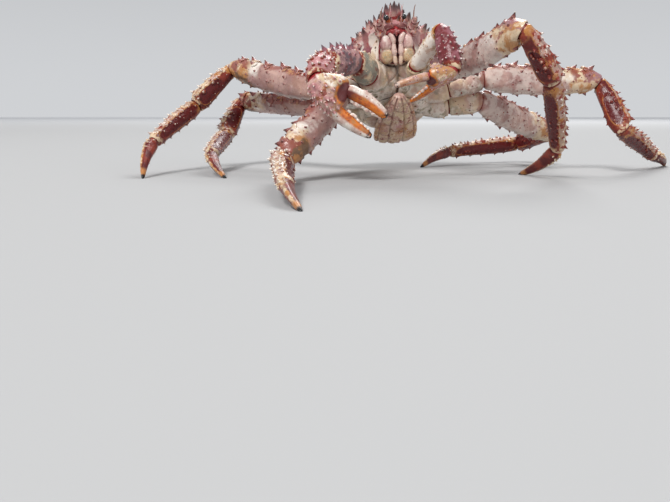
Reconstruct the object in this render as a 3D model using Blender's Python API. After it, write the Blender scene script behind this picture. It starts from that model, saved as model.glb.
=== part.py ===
# Red king crab, a life-size model: carapace, underbody, folded abdomen, eyes, feelers,
# jaw feet, two claw arms and six walking legs, each segment a solid of its own.
# Metres, +Z up. The crab faces -Y and rests on its feet at z = 0.

import math
import random

import bmesh
import bpy
from mathutils import Matrix, Vector

MM = 0.001

# How the body is held: nose up, rolled to its right, with the back shell's middle here.
NOSE_UP = math.radians(42)
ROLL = math.radians(6)
BODY_CENTRE = Vector((-47 * MM, 124 * MM, 122 * MM))

# The gap between neighbouring solids, and the level that the toes rest on.
GAP = 0.3 * MM
FLOOR = 0.0

# A section between an ellipse (2) and a box: how square the limbs are.
SQUARENESS = 2.3

# Spines: sides, how deep a root is sunk as a share of its segment's half height and at
# most, and how much wider a root is than its row says, to make up for its flat sides.
SPINE_SIDES = 5
SPINE_ROOT = 0.45
SPINE_ROOT_MOST = 4.0
SPINE_WIDEN = 1.25
SEED = 7

# The back shell is 164 mm wide and 148 mm long, or 172 mm with its rostrum.
# Half widths of the carapace in plan (distance ahead of its middle, half width), in mm.
PLAN = ((-76, 22), (-70, 45), (-60, 62), (-45, 77), (-25, 82), (-8, 79), (10, 68),
        (28, 56), (44, 45), (58, 34), (68, 24), (76, 12))
# Height of its crown along the middle line, and of its flat underside, in mm.
CROWN = ((-76, -4), (-68, 12), (-55, 24), (-35, 30), (-15, 30), (5, 32), (24, 37),
         (38, 37), (52, 30), (64, 22), (76, 14))
UNDERSIDE = ((-76, -16), (20, -18), (44, -15), (62, -6), (76, -1))
# Swellings of the back: across, ahead, spread across, spread along, height, in mm.
SWELLINGS = ((0, 34, 24, 20, 7), (34, -26, 24, 32, 6), (-34, -26, 24, 32, 6),
             (0, -36, 17, 18, 5), (30, 38, 13, 15, 3), (-30, 38, 13, 15, 3))
# Furrows between the swellings, as a swelling with a negative height.
FURROWS = ((0, -4, 26, 7, -3.5), (27, 8, 14, 8, -4), (-27, 8, 14, 8, -4),
           (17, -32, 5, 26, -3), (-17, -32, 5, 26, -3))

# Face sizes of the joints of a walking leg, half height and half thickness, in mm.
HIP = (11.5, 9.5)
THIGH = (12.0, 9.5)
KNEE = (9.0, 8.0)
ANKLE = (8.8, 7.6)
TOE = (6.2, 5.4)

# Each walking leg: hip in body axes (mm), then azimuth, elevation and length (degrees, mm)
# from hip to ischium, merus, carpus and propodus, then azimuth and length of the dactylus,
# then the way its spined edge faces at the thigh and further out.
LEGS = {
    "leg_left_1": ((40, 22, -36), ((-62, 9, 48), (-67, 13, 128), (27, -50, 62), (66, -47, 96)),
                   (119, 66), (0, 0, 1), (0.6, -0.7, 0.1)),
    "leg_left_2": ((46, -2, -40), ((-14, 16, 62), (7, -2, 146), (-58, -55, 67), (46, -19, 108)),
                   (53, 70), (0, 0, 1), (0.9, -0.2, 0.5)),
    "leg_left_3": ((48, -26, -42), ((-8, 8, 58), (38, -17, 150), (114, -12, 68), (-160, -5, 112)),
                   (-130, 72), (0, 0, 1), (0, 0, 1)),
    "leg_right_1": ((-40, 22, -36), ((-128, -20, 46), (-122, -32, 128), (-88, 0, 62), (-85, -6, 96)),
                    (-76, 66), (-0.7, 0, 0.7), (-0.7, 0, 0.7)),
    "leg_right_2": ((-46, -2, -40), ((-160, 12, 52), (142, 11, 146), (-169, -44, 67), (-110, -23, 108)),
                    (-89, 70), (0, 0, 1), (-0.6, -0.3, 0.6)),
    "leg_right_3": ((-48, -26, -42), ((156, 11, 52), (138, 2.3, 146), (-108, -40, 68), (-91, -10, 112)),
                    (-68, 72), (-0.5, -0.6, 0.6), (-1, -0.35, 0.3)),
}
COXA_LENGTH = 20 * MM
COXA_ROOT = 12 * MM

# Each claw arm: hip in body axes, then azimuth, elevation and length to the ischium, merus
# and carpus, then the palm's, then length and outward splay of the fixed and the movable
# finger, the way the movable finger lies from the fixed one, the way the arm's spined edge
# faces, and the shares of full size of its arm and of its claw.
ARMS = {
    "claw_right": ((-25, 34, -43), ((-125, 19, 50), (-125, -5, 52), (-106, -25, 42)),
                   (10, -37, 37), ((43, 0), (44, 3)), (0.66, 0.1, 0.75), (-0.3, 0, 1), (0.95, 0.95)),
    "claw_left": ((25, 34, -43), ((-100, 18, 33), (-59, 40, 52), (-66, -59, 50)),
                  (170, -20, 30), ((32, 45), (32, 6)), (0.1, -0.8, 0.45), (0.5, -0.5, 0.7), (0.78, 0.66)),
}

SHELL_RED = (0.36, 0.06, 0.05, 1)
SHELL_CREAM = (0.72, 0.52, 0.38, 1)
SHELL_DARK = (0.12, 0.03, 0.025, 1)
CLAW_ORANGE = (0.75, 0.30, 0.08, 1)
EYE_BLACK = (0.01, 0.01, 0.012, 1)


def material(name, colour, roughness):
    """A plain Principled material of one colour."""
    shell = bpy.data.materials.new(name)
    shell.use_nodes = True
    shader = shell.node_tree.nodes["Principled BSDF"]
    shader.inputs["Base Color"].default_value = colour
    shader.inputs["Roughness"].default_value = roughness
    shader.inputs["Metallic"].default_value = 0.0
    return shell


def aim(azimuth, elevation):
    """Unit vector of an azimuth and elevation in degrees."""
    a, e = math.radians(azimuth), math.radians(elevation)
    return Vector((math.cos(e) * math.cos(a), math.cos(e) * math.sin(a), math.sin(e)))


def across(vector, direction):
    """The part of a vector square to a direction, as a unit vector."""
    return (vector - direction * vector.dot(direction)).normalized()


def smooth_read(table, x):
    """Reads a table of (x, y, ...) rows at x, on a smooth curve through the rows."""
    if x <= table[0][0]:
        return table[0][1:]
    if x >= table[-1][0]:
        return table[-1][1:]
    k = max(i for i in range(len(table) - 1) if table[i][0] <= x)
    before, after = table[max(k - 1, 0)], table[min(k + 2, len(table) - 1)]
    start, end = table[k], table[k + 1]
    span = end[0] - start[0]
    t = (x - start[0]) / span
    values = []
    for j in range(1, len(start)):
        slope_a = (end[j] - before[j]) / (end[0] - before[0]) * span
        slope_b = (after[j] - start[j]) / (after[0] - start[0]) * span
        values.append((2 * t**3 - 3 * t**2 + 1) * start[j] + (t**3 - 2 * t**2 + t) * slope_a
                      + (3 * t**2 - 2 * t**3) * end[j] + (t**3 - t**2) * slope_b)
    return values


class Tube:
    """A limb's segment: a straight or bowed axis with oval sections along it.

    Rows of sizes are (place along, half height, half thickness, shift outward) in mm,
    with the place from 0 to 1. The end faces lie square to the normals given for them.
    """

    def __init__(self, start, end, start_normal, end_normal, outer, sizes, bow=0.0):
        self.start = start
        self.run = end - start
        self.length = self.run.length
        self.along = self.run.normalized()
        self.start_normal = start_normal
        self.end_normal = end_normal
        self.outer = across(outer, self.along)
        self.sizes = sizes
        self.bow = bow
        self.bend = max(row[1] for row in sizes) * MM

    def centre(self, t):
        shift = smooth_read(self.sizes, t)[2] * MM + self.bow * math.sin(math.pi * t)
        return self.start + self.run * t + self.outer * shift

    def normal(self, t):
        near_start = max(0.0, 1 - t * self.length / self.bend)
        near_end = max(0.0, 1 - (1 - t) * self.length / self.bend)
        slope = self.outer * (self.bow * math.pi * math.cos(math.pi * t) / self.length)
        middle = (self.along + slope).normalized()
        return (middle + (self.start_normal - middle) * near_start
                + (self.end_normal - middle) * near_end).normalized()

    def point(self, t, angle, scale=1.0):
        """A point of the surface; angle 0 is the outer edge, and 90 one broad side."""
        height, thickness = smooth_read(self.sizes, t)[:2]
        normal = self.normal(t)
        up = across(self.outer, normal)
        side = normal.cross(up)
        c, s = math.cos(angle), math.sin(angle)
        reach = (abs(c) ** SQUARENESS + abs(s) ** SQUARENESS) ** (-1 / SQUARENESS)
        return self.centre(t) + (up * (c * height) + side * (s * thickness)) * (reach * scale * MM)

    def facing(self, t, angle):
        """The outward direction of the surface."""
        step = 0.02
        low, high = max(t - step, 0.0), min(t + step, 1.0)
        along = self.point(high, angle) - self.point(low, angle)
        around = self.point(t, angle + step) - self.point(t, angle - step)
        out = around.cross(along).normalized()
        return out if out.dot(self.point(t, angle) - self.centre(t)) > 0 else -out


def loft(mesh, rings, tip=None):
    """Joins rings of points with quads and closes both ends, the last one to a tip if given."""
    rows = [[mesh.verts.new(p) for p in ring] for ring in rings]
    count = len(rows[0])
    for low, high in zip(rows, rows[1:]):
        for i in range(count):
            j = (i + 1) % count
            mesh.faces.new((low[i], low[j], high[j], high[i]))
    mesh.faces.new(rows[0][::-1])
    if tip is None:
        mesh.faces.new(rows[-1])
    else:
        point = mesh.verts.new(tip)
        for i in range(count):
            mesh.faces.new((rows[-1][i], rows[-1][(i + 1) % count], point))


def tube_rings(tube, stations, sides):
    """Sections of a tube at the given places along it."""
    return [[tube.point(t, math.tau * i / sides) for i in range(sides)] for t in stations]


def new_object(name, shell, origin):
    """An empty mesh object with its origin at a point of the model."""
    thing = bpy.data.objects.new(name, bpy.data.meshes.new(name))
    thing.data.materials.append(shell)
    thing.location = origin
    bpy.context.collection.objects.link(thing)
    return thing


def fill(thing, build):
    """Builds an object's mesh in world axes, then places it about the object's origin."""
    mesh = bmesh.new()
    build(mesh)
    bmesh.ops.recalc_face_normals(mesh, faces=mesh.faces)
    for vertex in mesh.verts:
        vertex.co -= thing.location
    mesh.to_mesh(thing.data)
    mesh.free()
    thing.data.shade_smooth()
    thing.data.set_sharp_from_angle(angle=math.radians(40))


def cone(mesh, root, tip, radius, sides=SPINE_SIDES):
    """A closed spine from its sunk root to its point."""
    axis = (tip - root).normalized()
    up = across(Vector((0.3, 0.5, 0.8)), axis)
    side = axis.cross(up)
    ring = [root + (up * math.cos(math.tau * i / sides) + side * math.sin(math.tau * i / sides)) * radius
            for i in range(sides)]
    loft(mesh, [ring], tip)


def join(thing, extras):
    """Fuses closed shapes with an object by one Boolean union and keeps its largest surface."""
    if not extras:
        return
    group = bpy.data.collections.new(thing.name + "_parts")
    bpy.context.scene.collection.children.link(group)
    for number, build in enumerate(extras):
        piece = bpy.data.objects.new(f"{thing.name}_part_{number}", bpy.data.meshes.new("part"))
        piece.location = thing.location
        group.objects.link(piece)
        fill(piece, build)
    union = thing.modifiers.new("union", "BOOLEAN")
    union.operation = "UNION"
    union.operand_type = "COLLECTION"
    union.collection = group
    union.solver = "MANIFOLD"
    bpy.context.view_layer.update()
    result = bpy.data.meshes.new_from_object(thing.evaluated_get(bpy.context.evaluated_depsgraph_get()))
    thing.modifiers.clear()
    thing.data = result
    for piece in list(group.objects):
        bpy.data.objects.remove(piece)
    bpy.data.collections.remove(group)
    keep_largest(thing)


def keep_largest(thing):
    """Drops every closed surface but the one with the most faces."""
    mesh = bmesh.new()
    mesh.from_mesh(thing.data)
    unseen = set(mesh.faces)
    islands = []
    while unseen:
        island, queue = [], [unseen.pop()]
        while queue:
            face = queue.pop()
            island.append(face)
            for edge in face.edges:
                for other in edge.link_faces:
                    if other in unseen:
                        unseen.remove(other)
                        queue.append(other)
        islands.append(island)
    islands.sort(key=len)
    for island in islands[:-1]:
        bmesh.ops.delete(mesh, geom=island, context="FACES")
    mesh.to_mesh(thing.data)
    mesh.free()


def tube_spines(tube, rows, rng):
    """Spines of a segment, from rows of (angle, first, last, number, length, radius, lean)."""
    extras = []
    for angle, first, last, number, length, radius, lean in rows:
        for i in range(number):
            t = first + (last - first) * (i + rng.uniform(0.3, 0.7)) / number
            place = math.radians(angle + rng.uniform(-7, 7))
            surface = tube.point(t, place)
            out = (tube.facing(t, place) + tube.along * lean).normalized()
            size = rng.uniform(0.8, 1.15)
            root = surface - out * (min(SPINE_ROOT * tube.sizes[1][2], SPINE_ROOT_MOST) * MM)
            tip = surface + out * (length * size * MM)
            width = radius * size * SPINE_WIDEN * MM
            extras.append(lambda mesh, r=root, p=tip, w=width: cone(mesh, r, p, w))
    return extras


SEGMENT_STATIONS = (0, 0.09, 0.24, 0.45, 0.66, 0.84, 0.94, 1)
SEGMENT_SIDES = 10

# Sizes of the segments of a walking leg, as Tube reads them.
ISCHIUM = ((0, *HIP, 0), (0.25, 12.5, 10.5, 0), (0.75, 13.2, 10.5, 0), (1, *THIGH, 0))
MERUS = ((0, *THIGH, 0), (0.08, 13.5, 10.5, 0), (0.3, 16, 11, 0), (0.6, 15, 10.5, 0),
         (0.87, 13.2, 11.5, 2.0), (0.95, 11.0, 10.5, 1.5), (1, *KNEE, 0))
CARPUS = ((0, *KNEE, 0), (0.15, 9.2, 8.5, 1), (0.45, 11, 9.5, 1.5), (0.85, 12, 10, 1), (1, *ANKLE, 0))
PROPODUS = ((0, *ANKLE, 0), (0.12, 10, 8.6, 0), (0.4, 10, 8.2, 0.5), (0.8, 8.4, 7.2, 0.5),
            (0.94, 7.8, 6.8, 0), (1, *TOE, 0))
DACTYLUS = ((0, *TOE, 0), (0.12, 7.5, 6, 0), (0.5, 5.6, 4.8, 0), (0.85, 3.0, 2.8, 0),
            (0.97, 1.6, 1.6, 0), (1, 1.1, 1.1, 0))
COXA = ((0, 8, 8, 0), (0.6, 13, 11, 0), (1, *HIP, 0))
COXA_STATIONS = (0, 0.3, 0.6, 0.85, 1)

# How far a toe bows outward, and how far the point of a toe or finger reaches past its
# last section.
DACTYLUS_BOW = 3.5 * MM
TIP_LENGTH = 1.0 * MM

# Rows of spines: angle, first and last place, number, length, radius, lean to the far end.
ISCHIUM_SPINES = ((0, 0.4, 0.95, 2, 5, 2.2, 0.3),)
MERUS_SPINES = ((0, 0.1, 0.95, 6, 7, 2.6, 0.5), (38, 0.2, 0.96, 4, 5, 2.2, 0.4),
                (-38, 0.2, 0.96, 3, 5, 2.2, 0.4), (180, 0.15, 0.9, 3, 4, 2.0, 0.3))
CARPUS_SPINES = ((0, 0.1, 0.95, 4, 6, 2.4, 0.4), (42, 0.2, 0.95, 3, 5, 2.2, 0.3),
                 (-42, 0.2, 0.95, 3, 5, 2.2, 0.3))
PROPODUS_SPINES = ((0, 0.06, 0.95, 6, 5, 2.1, 0.4), (45, 0.1, 0.92, 4, 4, 1.9, 0.3),
                   (-45, 0.1, 0.92, 3, 4, 1.9, 0.3))


def make_segment(name, shell, tube, spine_rows, rng, tip=None):
    """One segment of a limb as a node of its own, pressed flat where it meets the floor."""
    thing = new_object(name, shell, tube.start)

    def build(mesh):
        loft(mesh, tube_rings(tube, SEGMENT_STATIONS, SEGMENT_SIDES), tip)
        for vertex in mesh.verts:
            vertex.co.z = max(vertex.co.z, FLOOR)

    fill(thing, build)
    join(thing, tube_spines(tube, spine_rows, rng))


def body_axes():
    """The body's own axes: across to the crab's left, ahead, and up from the back."""
    ahead = Vector((0, -math.cos(NOSE_UP), math.sin(NOSE_UP)))
    level = Vector((1, 0, 0))
    back = Vector((0, math.sin(NOSE_UP), math.cos(NOSE_UP)))
    up = back * math.cos(ROLL) - level * math.sin(ROLL)
    left = level * math.cos(ROLL) + back * math.sin(ROLL)
    return left, ahead, up


LEFT, AHEAD, UP = body_axes()
BODY = Matrix.Translation(BODY_CENTRE) @ Matrix((LEFT, AHEAD, UP)).transposed().to_4x4()


def body_point(u, v, w):
    """A point given in mm along the body's own axes."""
    return BODY @ (Vector((u, v, w)) * MM)


def chain(start, steps):
    """Joint points and directions of a limb from its hip."""
    points, ways = [start], []
    for azimuth, elevation, length in steps:
        way = aim(azimuth, elevation)
        ways.append(way)
        points.append(points[-1] + way * (length * MM))
    return points, ways


def joint_normals(ways):
    """The normal of each joint's face, half way between the segments that meet there."""
    return [(a + b).normalized() for a, b in zip(ways, ways[1:])]


def walking_leg(name, shells, rng):
    """Ischium, merus, carpus, propodus and dactylus of one leg, and the coxa that carries it."""
    hip, steps, (toe_azimuth, toe_length), thigh_edge, shin_edge = LEGS[name]
    points, ways = chain(body_point(*hip), steps)
    drop = points[-1].z - FLOOR
    toe_elevation = -math.degrees(math.asin(drop / (toe_length * MM)))
    ways.append(aim(toe_azimuth, toe_elevation))
    points.append(points[-1] + ways[-1] * (toe_length * MM))
    coxa_end = points[0] + ways[0] * COXA_LENGTH
    normals = [ways[0]] + joint_normals(ways) + [ways[-1]]
    starts = [coxa_end] + points[1:5]
    edges = [Vector(thigh_edge)] * 2 + [Vector(shin_edge)] * 3
    kinds = (("ischium", ISCHIUM, ISCHIUM_SPINES), ("merus", MERUS, MERUS_SPINES),
             ("carpus", CARPUS, CARPUS_SPINES), ("propodus", PROPODUS, PROPODUS_SPINES),
             ("dactylus", DACTYLUS, ()))
    for k, (kind, sizes, spines) in enumerate(kinds):
        first = starts[k] + normals[k] * (GAP / 2)
        last = points[k + 1] - normals[k + 1] * (GAP / 2 if k < 4 else 0)
        bow = DACTYLUS_BOW if kind == "dactylus" else 0.0
        tube = Tube(first, last, normals[k], normals[k + 1], edges[k], sizes, bow)
        tip = last + ways[-1] * TIP_LENGTH if kind == "dactylus" else None
        make_segment(f"{name}_{kind}", shells[kind], tube, spines, rng, tip)
    return Tube(points[0] - ways[0] * COXA_ROOT, coxa_end - ways[0] * (GAP / 2), ways[0], ways[0],
                Vector(thigh_edge), COXA)


# Sizes of the segments of a full-size claw arm.
ARM_HIP = (17.0, 14.0)
ARM_THIGH = (13.0, 11.0)
ELBOW = (9.5, 9.0)
WRIST = (10.0, 8.5)
ARM_ISCHIUM = ((0, *ARM_HIP, 0), (0.4, 18.5, 15, 0), (0.8, 16, 13, 0), (1, *ARM_THIGH, 0))
ARM_MERUS = ((0, *ARM_THIGH, 0), (0.2, 14.5, 12.5, 0), (0.6, 15.5, 13.5, 0), (0.88, 13, 12, 0),
             (1, *ELBOW, 0))
ARM_CARPUS = ((0, *ELBOW, 0), (0.25, 13.5, 12, 1), (0.65, 15, 13.5, 1), (0.9, 13, 12, 0),
              (1, *WRIST, 0))
ARM_COXA = ((0, 11, 10, 0), (0.5, 19, 16, 0), (1, *ARM_HIP, 0))
PALM = ((0, *WRIST, 0), (0.15, 14.5, 12, 0), (0.45, 19, 14, 0), (0.75, 20, 13.5, 0), (1, 18.5, 11, 0))
FIXED_FINGER = ((0, 7.0, 7.0, 0), (0.12, 8.2, 7.6, 0), (0.3, 8.4, 7.5, 0), (0.65, 6.5, 6, 0),
                (0.92, 4.2, 4, 0), (1, 3.0, 2.8, 0))
MOVABLE_FINGER = ((0, 7.5, 7, 0), (0.2, 9.3, 7.8, 0), (0.6, 8, 6.6, 0), (0.92, 5.4, 4.8, 0),
                  (1, 3.9, 3.6, 0))
FINGER_STATIONS = (0, 0.12, 0.3, 0.5, 0.7, 0.86, 0.95, 1)
FINGER_SIDES = 8
PALM_SIDES = 12

# A finger's distance from the palm's middle line, how far the fixed one starts back in the
# palm, how far a finger bows outward, and how much its tip turns in.
FINGER_REACH = 12 * MM
FINGER_ROOT = 6 * MM
FINGER_BOW = 3.0 * MM
FINGER_CURL = 0.25

ARM_ISCHIUM_SPINES = ((0, 0.3, 0.9, 2, 5, 2.4, 0.3),)
ARM_MERUS_SPINES = ((0, 0.1, 0.95, 5, 8, 3.0, 0.3), (45, 0.2, 0.95, 4, 7, 2.8, 0.3),
                    (-45, 0.2, 0.95, 4, 7, 2.8, 0.3))
ARM_CARPUS_SPINES = ((0, 0.1, 0.95, 4, 6, 2.6, 0.3), (50, 0.1, 0.88, 4, 6, 2.5, 0.2),
                     (-50, 0.1, 0.88, 4, 6, 2.5, 0.2), (95, 0.2, 0.8, 3, 5, 2.3, 0.1),
                     (-95, 0.2, 0.8, 3, 5, 2.3, 0.1))
PALM_SPINES = ((0, 0.25, 0.85, 3, 4, 2.3, 0.2), (60, 0.25, 0.9, 3, 5, 2.2, 0.3),
               (-60, 0.25, 0.9, 3, 5, 2.2, 0.3), (120, 0.2, 0.9, 4, 5, 2.2, 0.3),
               (180, 0.2, 0.9, 4, 5, 2.2, 0.3), (-120, 0.2, 0.9, 4, 5, 2.2, 0.3))
TOOTH_ROW = (180, 0.15, 0.8, 4, 2.6, 2.2, 0.0)


def scaled(rows, share):
    """Size rows of a smaller limb."""
    return tuple((row[0],) + tuple(value * share for value in row[1:]) for row in rows)


def scaled_spines(rows, share):
    """Spine rows of a smaller limb."""
    return tuple(row[:4] + (row[4] * share, row[5] * share, row[6]) for row in rows)


def claw_arm(name, shells, rng):
    """Ischium, merus, carpus, palm with its fixed finger, and movable finger of one claw arm."""
    hip, steps, (azimuth, elevation, palm_length), fingers, finger_side, edge, shares = ARMS[name]
    share, claw_share = shares
    points, ways = chain(body_point(*hip), steps)
    claw_way = aim(azimuth, elevation)
    normals = [ways[0]] + joint_normals(ways + [claw_way]) + [claw_way]
    coxa_end = points[0] + ways[0] * COXA_LENGTH * share
    starts = [coxa_end] + points[1:3]
    kinds = (("ischium", ARM_ISCHIUM, ARM_ISCHIUM_SPINES), ("merus", ARM_MERUS, ARM_MERUS_SPINES),
             ("carpus", ARM_CARPUS, ARM_CARPUS_SPINES))
    for k, (kind, sizes, spines) in enumerate(kinds):
        first = starts[k] + normals[k] * (GAP / 2)
        last = points[k + 1] - normals[k + 1] * (GAP / 2)
        tube = Tube(first, last, normals[k], normals[k + 1], Vector(edge), scaled(sizes, share))
        make_segment(f"{name}_{kind}", shells["arm"], tube, scaled_spines(spines, share), rng)
    palm = (points[3], normals[3], claw_way, palm_length * MM, across(Vector(finger_side), claw_way),
            scaled(PALM[:1], share) + scaled(PALM[1:], claw_share))
    claw(name, shells, rng, palm, fingers, claw_share)
    return Tube(points[0] - ways[0] * COXA_ROOT, coxa_end - ways[0] * (GAP / 2), ways[0], ways[0],
                Vector(edge), scaled(ARM_COXA, share))


def finger_tube(start, way, side, length, splay, sizes, share):
    """A finger that leaves the palm's end at an angle and curves back towards the other one."""
    turn = math.radians(splay)
    ahead = way * math.cos(turn) + side * math.sin(turn)
    return Tube(start, start + ahead * length, way, (ahead - side * FINGER_CURL).normalized(), side,
                scaled(sizes, share), FINGER_BOW * share)


def finger_loft(mesh, tube):
    """A finger's closed shape, out to its point."""
    loft(mesh, tube_rings(tube, FINGER_STATIONS, FINGER_SIDES),
         tube.point(1, 0, 0) + tube.end_normal * TIP_LENGTH)


def claw(name, shells, rng, palm_place, fingers, share):
    """Palm with its fixed finger as one piece, and the movable finger that hinges on it."""
    wrist, wrist_normal, way, palm_length, side, palm_sizes = palm_place
    (fixed_length, fixed_splay), (moving_length, moving_splay) = fingers
    palm_end = wrist + way * palm_length
    palm = Tube(wrist + wrist_normal * (GAP / 2), palm_end, wrist_normal, way, side, palm_sizes)
    reach = FINGER_REACH * share
    fixed_start = palm_end - side * reach - way * FINGER_ROOT
    fixed = finger_tube(fixed_start, way, -side, fixed_length * MM + FINGER_ROOT, fixed_splay,
                        FIXED_FINGER, share)
    moving_start = palm_end + side * reach + way * GAP
    moving = finger_tube(moving_start, way, side, moving_length * MM, moving_splay,
                         MOVABLE_FINGER, share)
    teeth = scaled_spines((TOOTH_ROW,), share)

    thing = new_object(f"{name}_propodus", shells["palm"], wrist)
    fill(thing, lambda mesh: loft(mesh, tube_rings(palm, SEGMENT_STATIONS, PALM_SIDES)))
    join(thing, [lambda mesh: finger_loft(mesh, fixed)]
         + tube_spines(palm, scaled_spines(PALM_SPINES, share), rng)
         + tube_spines(fixed, teeth, rng))

    finger = new_object(f"{name}_dactylus", shells["palm"], moving_start)
    fill(finger, lambda mesh: finger_loft(mesh, moving))
    join(finger, tube_spines(moving, teeth, rng))


def relief(u, v):
    """Height that the back's swellings and furrows add at a place, in mm."""
    total = 0.0
    for x, y, spread_x, spread_y, height in SWELLINGS + FURROWS:
        total += height * math.exp(-((u - x) / spread_x) ** 2 - ((v - y) / spread_y) ** 2)
    return total


# Level of the rim, share of the width where the underside begins, and how full the dome is.
RIM = -3.0
RIM_TURN = 0.72
DOME = 0.85
CARAPACE_STATIONS = (-76, -71, -64, -54, -42, -28, -14, 0, 12, 24, 36, 47, 57, 66, 72, 76)
CARAPACE_SIDES = 24


def carapace_point(v, angle):
    """A point of the carapace; angle 0 is its left rim and 90 degrees its crown."""
    half = smooth_read(PLAN, v)[0]
    crown = smooth_read(CROWN, v)[0]
    floor = smooth_read(UNDERSIDE, v)[0]
    c, s = math.cos(angle), math.sin(angle)
    if s >= 0:
        u = half * c
        lift = (crown - RIM) * s ** DOME
        return Vector((u, v, RIM + lift + relief(u, v) * s))
    u = half * (RIM_TURN + (1 - RIM_TURN) * (1 + s) ** 1.5) * (abs(c) ** 0.5) * (1 if c > 0 else -1)
    return Vector((u, v, RIM + (floor - RIM) * min(1.0, -s * 1.6)))


def make_carapace(shell, rng):
    """The back shell, with its rostrum and the spines of its face and rim."""
    thing = new_object("carapace", shell, BODY_CENTRE)

    def build(mesh):
        rings = [[BODY @ (carapace_point(v, math.tau * i / CARAPACE_SIDES) * MM)
                  for i in range(CARAPACE_SIDES)] for v in CARAPACE_STATIONS]
        loft(mesh, rings)

    fill(thing, build)
    join(thing, [body_cone(*row, FACE_SPINE_SIDES) for row in FACE_SPINES] + back_spines(rng))


def body_cone(root, tip, radius, sides=SPINE_SIDES):
    """Builds a spine given in mm along the body's axes."""
    return lambda mesh: cone(mesh, body_point(*root), body_point(*tip), radius * MM, sides)


# Spines of the face: root, tip and root radius in mm along the body's axes.
FACE_SPINE_SIDES = 6
FACE_SPINES = (
    ((0, 62, 9), (0, 96, 14), 9), ((6, 60, 15), (8, 84, 25), 6.5), ((-6, 60, 15), (-8, 84, 25), 6.5),
    ((0, 56, 22), (0, 76, 36), 6), ((15, 60, 6), (18, 85, 7), 6), ((-15, 60, 6), (-18, 85, 7), 6),
    ((30, 50, 0), (38, 72, 0), 6.5), ((-30, 50, 0), (-38, 72, 0), 6.5),
)


# Spines of the rim and of the back: places ahead of the middle, angles round the dome,
# length and root radius in mm.
RIM_SPINE_PLACES = (-66, -54, -41, -28, -15, -2, 10, 21, 32, 43)
BACK_SPINE_PLACES = (-62, -47, -32, -17, -3, 11, 25, 38, 50)
BACK_SPINE_ANGLES = (28, 58, 90, 122, 152)
RIM_SPINE = (9, 4.2)
BACK_SPINE = (8, 4.2)
BACK_SPINE_ROOT = 4.5
BACK_SPINE_LEAN = 0.35


def back_spines(rng):
    """Rim and back spines, set in rows along the carapace and closer towards its front."""
    rim = [back_spine(v, side, RIM_SPINE, rng) for v in RIM_SPINE_PLACES for side in (0.0, math.pi)]
    return rim + [back_spine(v, math.radians(degrees + rng.uniform(-9, 9)), BACK_SPINE, rng)
                  for v in BACK_SPINE_PLACES for degrees in BACK_SPINE_ANGLES]


def back_spine(v, angle, kind, rng):
    """One spine that stands on the carapace and leans ahead."""
    length, radius = kind
    place = v + rng.uniform(-3, 3)
    surface = carapace_point(place, angle)
    around = carapace_point(place, angle + 0.03) - carapace_point(place, angle - 0.03)
    along = carapace_point(place + 1, angle) - carapace_point(place - 1, angle)
    out = along.cross(around).normalized()
    if out.dot(surface - Vector((0, place, RIM))) < 0:
        out = -out
    out = (out + Vector((0, BACK_SPINE_LEAN, 0))).normalized()
    size = rng.uniform(0.8, 1.2)
    return body_cone(surface - out * BACK_SPINE_ROOT, surface + out * (length * size), radius * size)


# The underbody: place ahead, half width at its top and at its sole, and level of the sole,
# then how deep the groove along the sole is, in mm.
THORAX = ((-64, 34, 20, -34), (-54, 41, 27, -42), (-28, 52, 34, -50), (0, 46, 32, -51), (20, 39, 28, -50),
          (32, 34, 26, -44), (44, 30, 24, -33), (56, 24, 21, -21), (66, 18, 18, -11), (72, 13.5, 13.5, -5))
THORAX_STATIONS = (-64, -54, -42, -28, -14, 0, 12, 24, 36, 47, 57, 66, 72)
THORAX_GROOVE = 3.0
THORAX_GAP = 1.4 * GAP


def thorax_ring(v):
    """One section of the underbody, flat against the back shell and rounded to its sole."""
    top_half, sole_half, sole = smooth_read(THORAX, v)
    top = smooth_read(UNDERSIDE, v)[0] - THORAX_GAP / MM
    depth = top - sole
    bulge = 0.08 * depth
    profile = ((top_half, top), (top_half + 0.6 * bulge, top - 0.2 * depth),
               ((top_half + sole_half) / 2 + bulge, top - 0.65 * depth), (sole_half, sole + 0.04 * depth),
               (sole_half * 0.6, sole))
    right = [(-u, w) for u, w in reversed(profile)]
    groove = [(0, sole + min(THORAX_GROOVE, depth / 4))]
    return [Vector((u, v, w)) for u, w in list(profile) + groove + right]


def make_thorax(shell, coxae):
    """The underbody with the coxae that carry the legs and claw arms."""
    thing = new_object("underbody", shell, body_point(0, 0, -30))
    rings = [[BODY @ (p * MM) for p in thorax_ring(v)] for v in THORAX_STATIONS]
    fill(thing, lambda mesh: loft(mesh, rings))
    join(thing, [lambda mesh, t=tube: loft(mesh, tube_rings(t, COXA_STATIONS, SEGMENT_SIDES))
                 for tube in coxae])


# The tail under the body: place ahead, level, half width and half thickness in mm, then
# the places where its plates meet, and the half width and depth of the furrow there.
ABDOMEN = ((-70, -40, 19, 5), (-64, -52, 24, 6), (-48, -59.5, 27, 6), (-26, -60.5, 25, 6),
           (-6, -60.5, 20, 5.5), (10, -60, 13, 5), (20, -58.5, 6, 4))
PLATE_JOINTS = (-56, -42, -28, -15, -3, 8)
PLATE_FURROW = 1.6
PLATE_RISE = 1.2
ABDOMEN_SIDES = 12


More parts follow.
